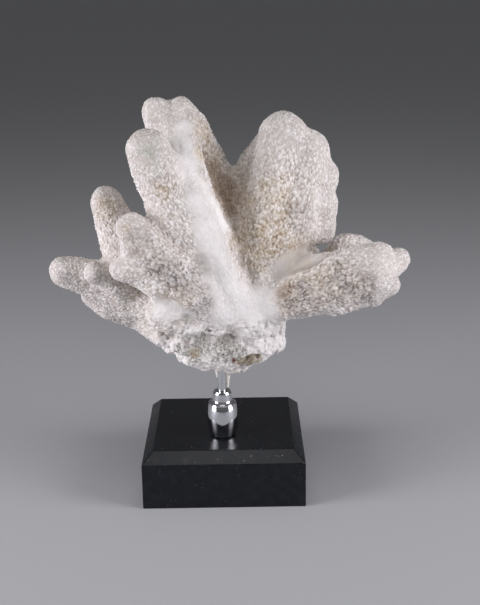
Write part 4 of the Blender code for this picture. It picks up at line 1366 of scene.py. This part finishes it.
def satin_black_paint():
    """Near-black paint that blurs reflections, with dust, rubbed edges and faint scuffs."""
    material, tree, shader, place = new_material("black_satin_paint_on_wood")
    cells = add(tree, "TexVoronoi", {"Vector": place, "Scale": 1 / SPECK_CELL}).outputs
    chance, width, _ = add(tree, "SeparateColor", {"Color": cells["Color"]}).outputs
    across = add(tree, "SeparateXYZ", {"Vector": place}).outputs["X"]
    wanted = add(tree, "MapRange", {"Value": across, "From Min": -BASE_HALF, "From Max": BASE_HALF,
                                    "To Min": SPECK_CHANCE[0], "To Max": SPECK_CHANCE[1]})
    there = add(tree, "Math", {0: chance, 1: wanted}, operation="LESS_THAN")
    size = add(tree, "MapRange", {"Value": width, "To Min": SPECK_SIZE / 3, "To Max": SPECK_SIZE})
    near = add(tree, "Math", {0: cells["Distance"], 1: size}, operation="LESS_THAN")
    speck = add(tree, "Math", {0: there, 1: near}, operation="MULTIPLY")
    scuffs = add(tree, "TexNoise", {"Vector": place, "Scale": 1 / SCUFF, "Detail": 5.0})
    scuffed = add(tree, "MapRange", {"Value": scuffs, "From Min": 0.55, "From Max": 0.8})
    wear = add(tree, "Attribute", attribute_name="edge_wear").outputs["Fac"]
    rubbed = add(tree, "Math", {0: wear, 1: scuffed}, operation="MULTIPLY")
    soft = add(tree, "TexNoise", {"Vector": place, "Scale": 1 / PAINT_WAVE, "Detail": 3.0})
    hazed = add(tree, "MapRange", {"Value": soft, "From Min": 0.45, "From Max": 0.75})
    colour = linear("#0A0C11")
    for share, tint in ((hazed, "#12161E"), (rubbed, "#30363F"), (speck, "#C9C7C2")):
        links = {0: share, 6: colour, 7: linear(tint)}
        colour = add(tree, "Mix", links, data_type="RGBA").outputs[2]
    rough = add(tree, "MapRange", {"Value": soft, "From Min": 0.3, "From Max": 0.7,
                                   "To Min": 0.26, "To Max": 0.38})
    waved = add(tree, "Bump", {"Height": soft, "Strength": 0.15, "Distance": 0.1 * MM})
    scratched = add(tree, "Bump", {"Height": scuffs, "Strength": 0.1, "Distance": 0.05 * MM,
                                   "Normal": waved})
    feed(tree, shader, {"Base Color": colour, "Roughness": rough, "Specular IOR Level": 0.35,
                        "Normal": scratched})
    return material


finish_piece(block, satin_black_paint(), "base")

# %% [markdown]
# ## The collar and the rod
# Both are turned on a lathe and chrome plated. A turned shape is a profile, radius against
# height, spun round an axis, so it could be a Screw modifier. A function does the same and
# closes both ends with a point on the axis. The collar's barrel is a smooth curve, its lip and
# neck have small rounds as a real tool leaves them, and a blind hole takes the rod.

# %% Turned pieces
ROD_X, ROD_Y = -0.5 * MM, -18.5 * MM
ROD_RADIUS = 2.75 * MM
ROD_TOP = 98.0 * MM
ROD_IN_COLLAR = 14.0 * MM
ROD_CLEARANCE = 0.3 * MM
COLLAR_BOTTOM = BASE_HEIGHT + 0.3 * MM
COLLAR_HEIGHT = 29.0 * MM
TURN_SIDES = 128
BARREL = ((7.7, 0.0), (8.25, 0.55), (9.0, 4.0), (9.6, 8.0), (9.85, 12.2), (9.3, 17.5), (8.5, 21.2))
NECK = ((8.55, 21.5), (8.1, 22.1), (6.6, 22.3), (6.2, 23.2), (5.8, 27.9), (5.2, 29.0))
NECK_ROUND = 0.3 * MM
BARREL_STEPS = 8
ROD_EASE = 0.4 * MM
SHARP_ANGLE = math.radians(35)


def spun(profile, sides):
    """A profile (radius, height) turned about the rod's axis; a radius of 0 becomes one point.

    Point (k, j) is the axis plus r_k (cos a_j, sin a_j), at height z_k.
    """
    turn = np.arange(sides) * 2 * math.pi / sides
    middle = profile[1:-1]
    ring = np.stack((np.cos(turn), np.sin(turn)), 1)
    points = stacked(middle[:, None, :1] * ring, middle[:, None, 1:])
    faces = ring_quads(len(middle), sides).tolist()
    bottom, top = len(points), len(points) + 1
    last = (len(middle) - 1) * sides
    side = np.arange(sides)
    after = (side + 1) % sides
    faces += np.stack((after, side, np.full(sides, bottom)), 1).tolist()
    faces += np.stack((last + side, last + after, np.full(sides, top)), 1).tolist()
    points = np.vstack((points, (0, 0, profile[0][1]), (0, 0, profile[-1][1])))
    return points + (ROD_X, ROD_Y, 0), faces


def collar_profile():
    """From the underside's middle up the barrel, lip and neck, and down the hole to its bottom."""
    foot_line = np.array(BARREL[:2]) * MM
    barrel = smooth_curve(np.array(BARREL[1:]) * MM, BARREL_STEPS)
    neck_line = np.vstack((barrel[-1:], np.array(NECK) * MM))
    neck, _ = rounded_corners(neck_line, NECK_ROUND / 2, ARC_STEPS)
    hole = ROD_RADIUS + ROD_CLEARANCE
    top = np.array(((hole + NECK_ROUND, COLLAR_HEIGHT), (hole, COLLAR_HEIGHT - NECK_ROUND)))
    bottom = COLLAR_HEIGHT - ROD_IN_COLLAR - ROD_CLEARANCE
    inside = np.array(((hole, bottom), (0.0, bottom)))
    profile = np.vstack(((0.0, 0.0), foot_line[:1], barrel, neck[1:], top, inside))
    return profile + (0, COLLAR_BOTTOM)


def turned_piece(name, profile):
    """A turned object; its sharp turns stay crisp in the light."""
    points, faces = spun(profile, TURN_SIDES)
    mesh = mesh_from(name, points, faces)
    mesh.set_sharp_from_angle(angle=SHARP_ANGLE)
    return object_from(name, mesh)


collar = turned_piece("turned_collar", collar_profile())
rod_bottom = COLLAR_BOTTOM + COLLAR_HEIGHT - ROD_IN_COLLAR
inner, above, below = ROD_RADIUS - ROD_EASE, rod_bottom + ROD_EASE, ROD_TOP - ROD_EASE
rod_line = np.array(((0, rod_bottom), (inner, rod_bottom), (ROD_RADIUS, above),
                     (ROD_RADIUS, below), (inner, ROD_TOP), (0, ROD_TOP)))
rod = turned_piece("bright_rod", rod_line)
print("collar:", len(collar.data.polygons), "faces; rod:", len(rod.data.polygons), "faces")

# %% [markdown]
# Chrome plate is a thin bright layer over polished brass or steel. It mirrors the soft boxes as
# white strips. Handling leaves a faint haze, so its roughness changes softly, and the lathe left
# very fine rings, drawn here wide enough to show.

# %% Chrome
TURNING = 0.6 * MM
SMUDGE = 8.0 * MM


def chrome_plate():
    """Mirror-bright plate with soft smudges and faint turning rings."""
    material, tree, shader, place = new_material("chrome_plate_polished")
    smudge = add(tree, "TexNoise", {"Vector": place, "Scale": 1 / SMUDGE, "Detail": 4.0})
    rough = add(tree, "MapRange", {"Value": smudge, "From Min": 0.35, "From Max": 0.7,
                                   "To Min": 0.05, "To Max": 0.16})
    height = add(tree, "SeparateXYZ", {"Vector": place}).outputs["Z"]
    along = add(tree, "CombineXYZ", {"Z": height})
    rings = add(tree, "TexNoise", {"Vector": along, "Scale": 1 / TURNING, "Detail": 2.0})
    turned = add(tree, "Bump", {"Height": rings, "Strength": 0.08, "Distance": 0.02 * MM})
    feed(tree, shader, {"Base Color": linear("#D8D9DC"), "Metallic": 1.0, "Roughness": rough,
                        "Normal": turned})
    return material


chrome = chrome_plate()
finish_piece(collar, chrome, "collar")
finish_piece(rod, chrome, "rod")

# %% [markdown]
# ## The glue
# Thick white glue wells out round the rod and runs down it in two drips before it sets. It is
# made as the coral is: short tubes, fused and smoothed until they look poured.

# %% Glue bead
GLUE = {
    "collar": ((0, -16.8, 82.5, 6.2), (2.0, -16.0, 80.3, 5.4)),
    "right_lobe": ((8.8, -19, 79, 2.8), (4, -17.5, 79, 4.2)),
    "drip": ((2.9, -17.8, 67.2, 1.0), (2.9, -17.8, 71, 1.4), (2.4, -17.2, 77, 2.8)),
    "left_drip": ((-2.8, -17.4, 73.5, 1.1), (-2.4, -17.2, 78, 2.6)),
}
GLUE_VOXEL = 0.45 * MM
GLUE_SMOOTHING = 9
DUST = 1.2 * MM

glue = object_from("glue_bead_skin", fused_mesh(
    "glue_lumps", tubes_mesh("glue_tubes", GLUE.values()), GLUE_VOXEL, GLUE_SMOOTHING))
glue.data.polygons.foreach_set("use_smooth", np.ones(len(glue.data.polygons), bool))
print("glue:", len(glue.data.polygons), "faces")


def dried_glue():
    """White glue that has set: satin, faintly yellow, with chalk dust stuck to it."""
    material, tree, shader, place = new_material("white_glue_dried")
    dust = add(tree, "TexNoise", {"Vector": place, "Scale": 1 / DUST, "Detail": 4.0})
    dusty = add(tree, "MapRange", {"Value": dust, "From Min": 0.4, "From Max": 0.65})
    tones = {0: dusty, 6: linear("#DDD6CB"), 7: linear("#EEEAE4")}
    colour = add(tree, "Mix", tones, data_type="RGBA").outputs[2]
    rough = add(tree, "MapRange", {"Value": dusty, "To Min": 0.35, "To Max": 0.75})
    grainy = add(tree, "Bump", {"Height": dust, "Strength": 0.35, "Distance": 0.2 * MM})
    feed(tree, shader, {"Base Color": colour, "Roughness": rough, "Normal": grainy})
    return material


finish_piece(glue, dried_glue(), "glue_bead")

# %% [markdown]
# ## The floor and the light
# A plain pale floor and two large soft boxes, one on each side, as in a small studio. They light
# the outer fingers, leave the valleys darker, and give the bright metal its two white strips. The
# floor runs far back, so that its edge lies above the picture, and it darkens with distance.

# %% Floor and lights
FLOOR_WIDTH = 60.0
FLOOR_BELOW = 0.1 * MM
LIGHT_AIM = (0.0, 0.0, 0.13)

floor_corners = np.array(((-1, -1), (1, -1), (1, 1), (-1, 1))) * FLOOR_WIDTH / 2
floor = object_from("floor", mesh_from(
    "floor", np.column_stack((floor_corners, np.full(4, -FLOOR_BELOW))), [(0, 1, 2, 3)]))
paper, paper_tree, paper_shader, _ = new_material("matt_paper")
feed(paper_tree, paper_shader, {"Base Color": linear("#B4B5B7"), "Roughness": 0.8})
floor.data.materials.append(paper)


def soft_box(name, place, size, watts, colour):
    """A rectangular area light that faces the coral."""
    light = bpy.data.lights.new(name, "AREA")
    light.shape = "RECTANGLE"
    light.size, light.size_y = size
    light.energy = watts
    light.color = linear(colour)[:3]
    lamp = bpy.data.objects.new(name, light)
    bpy.context.scene.collection.objects.link(lamp)
    lamp.location = place
    lamp.rotation_mode = "QUATERNION"
    lamp.rotation_quaternion = (Vector(LIGHT_AIM) - lamp.location).to_track_quat("-Z", "Y")


soft_box("left_soft_box", (-0.86, -0.36, 0.24), (0.5, 0.8), 11.0, "#FAF8FF")
soft_box("right_soft_box", (0.84, -0.36, 0.26), (0.5, 0.8), 9.4, "#FAF8FF")
soft_box("top_soft_box", (0.0, -0.4, 1.0), (0.6, 0.6), 1.8, "#FFFFFF")

world = bpy.data.worlds.new("studio")
bpy.context.scene.world = world
world.use_nodes = True
background = world.node_tree.nodes["Background"]
feed(world.node_tree, background, {"Color": linear("#9A9A9C"), "Strength": 0.38})
bpy.context.scene.view_settings.view_transform = "Standard"
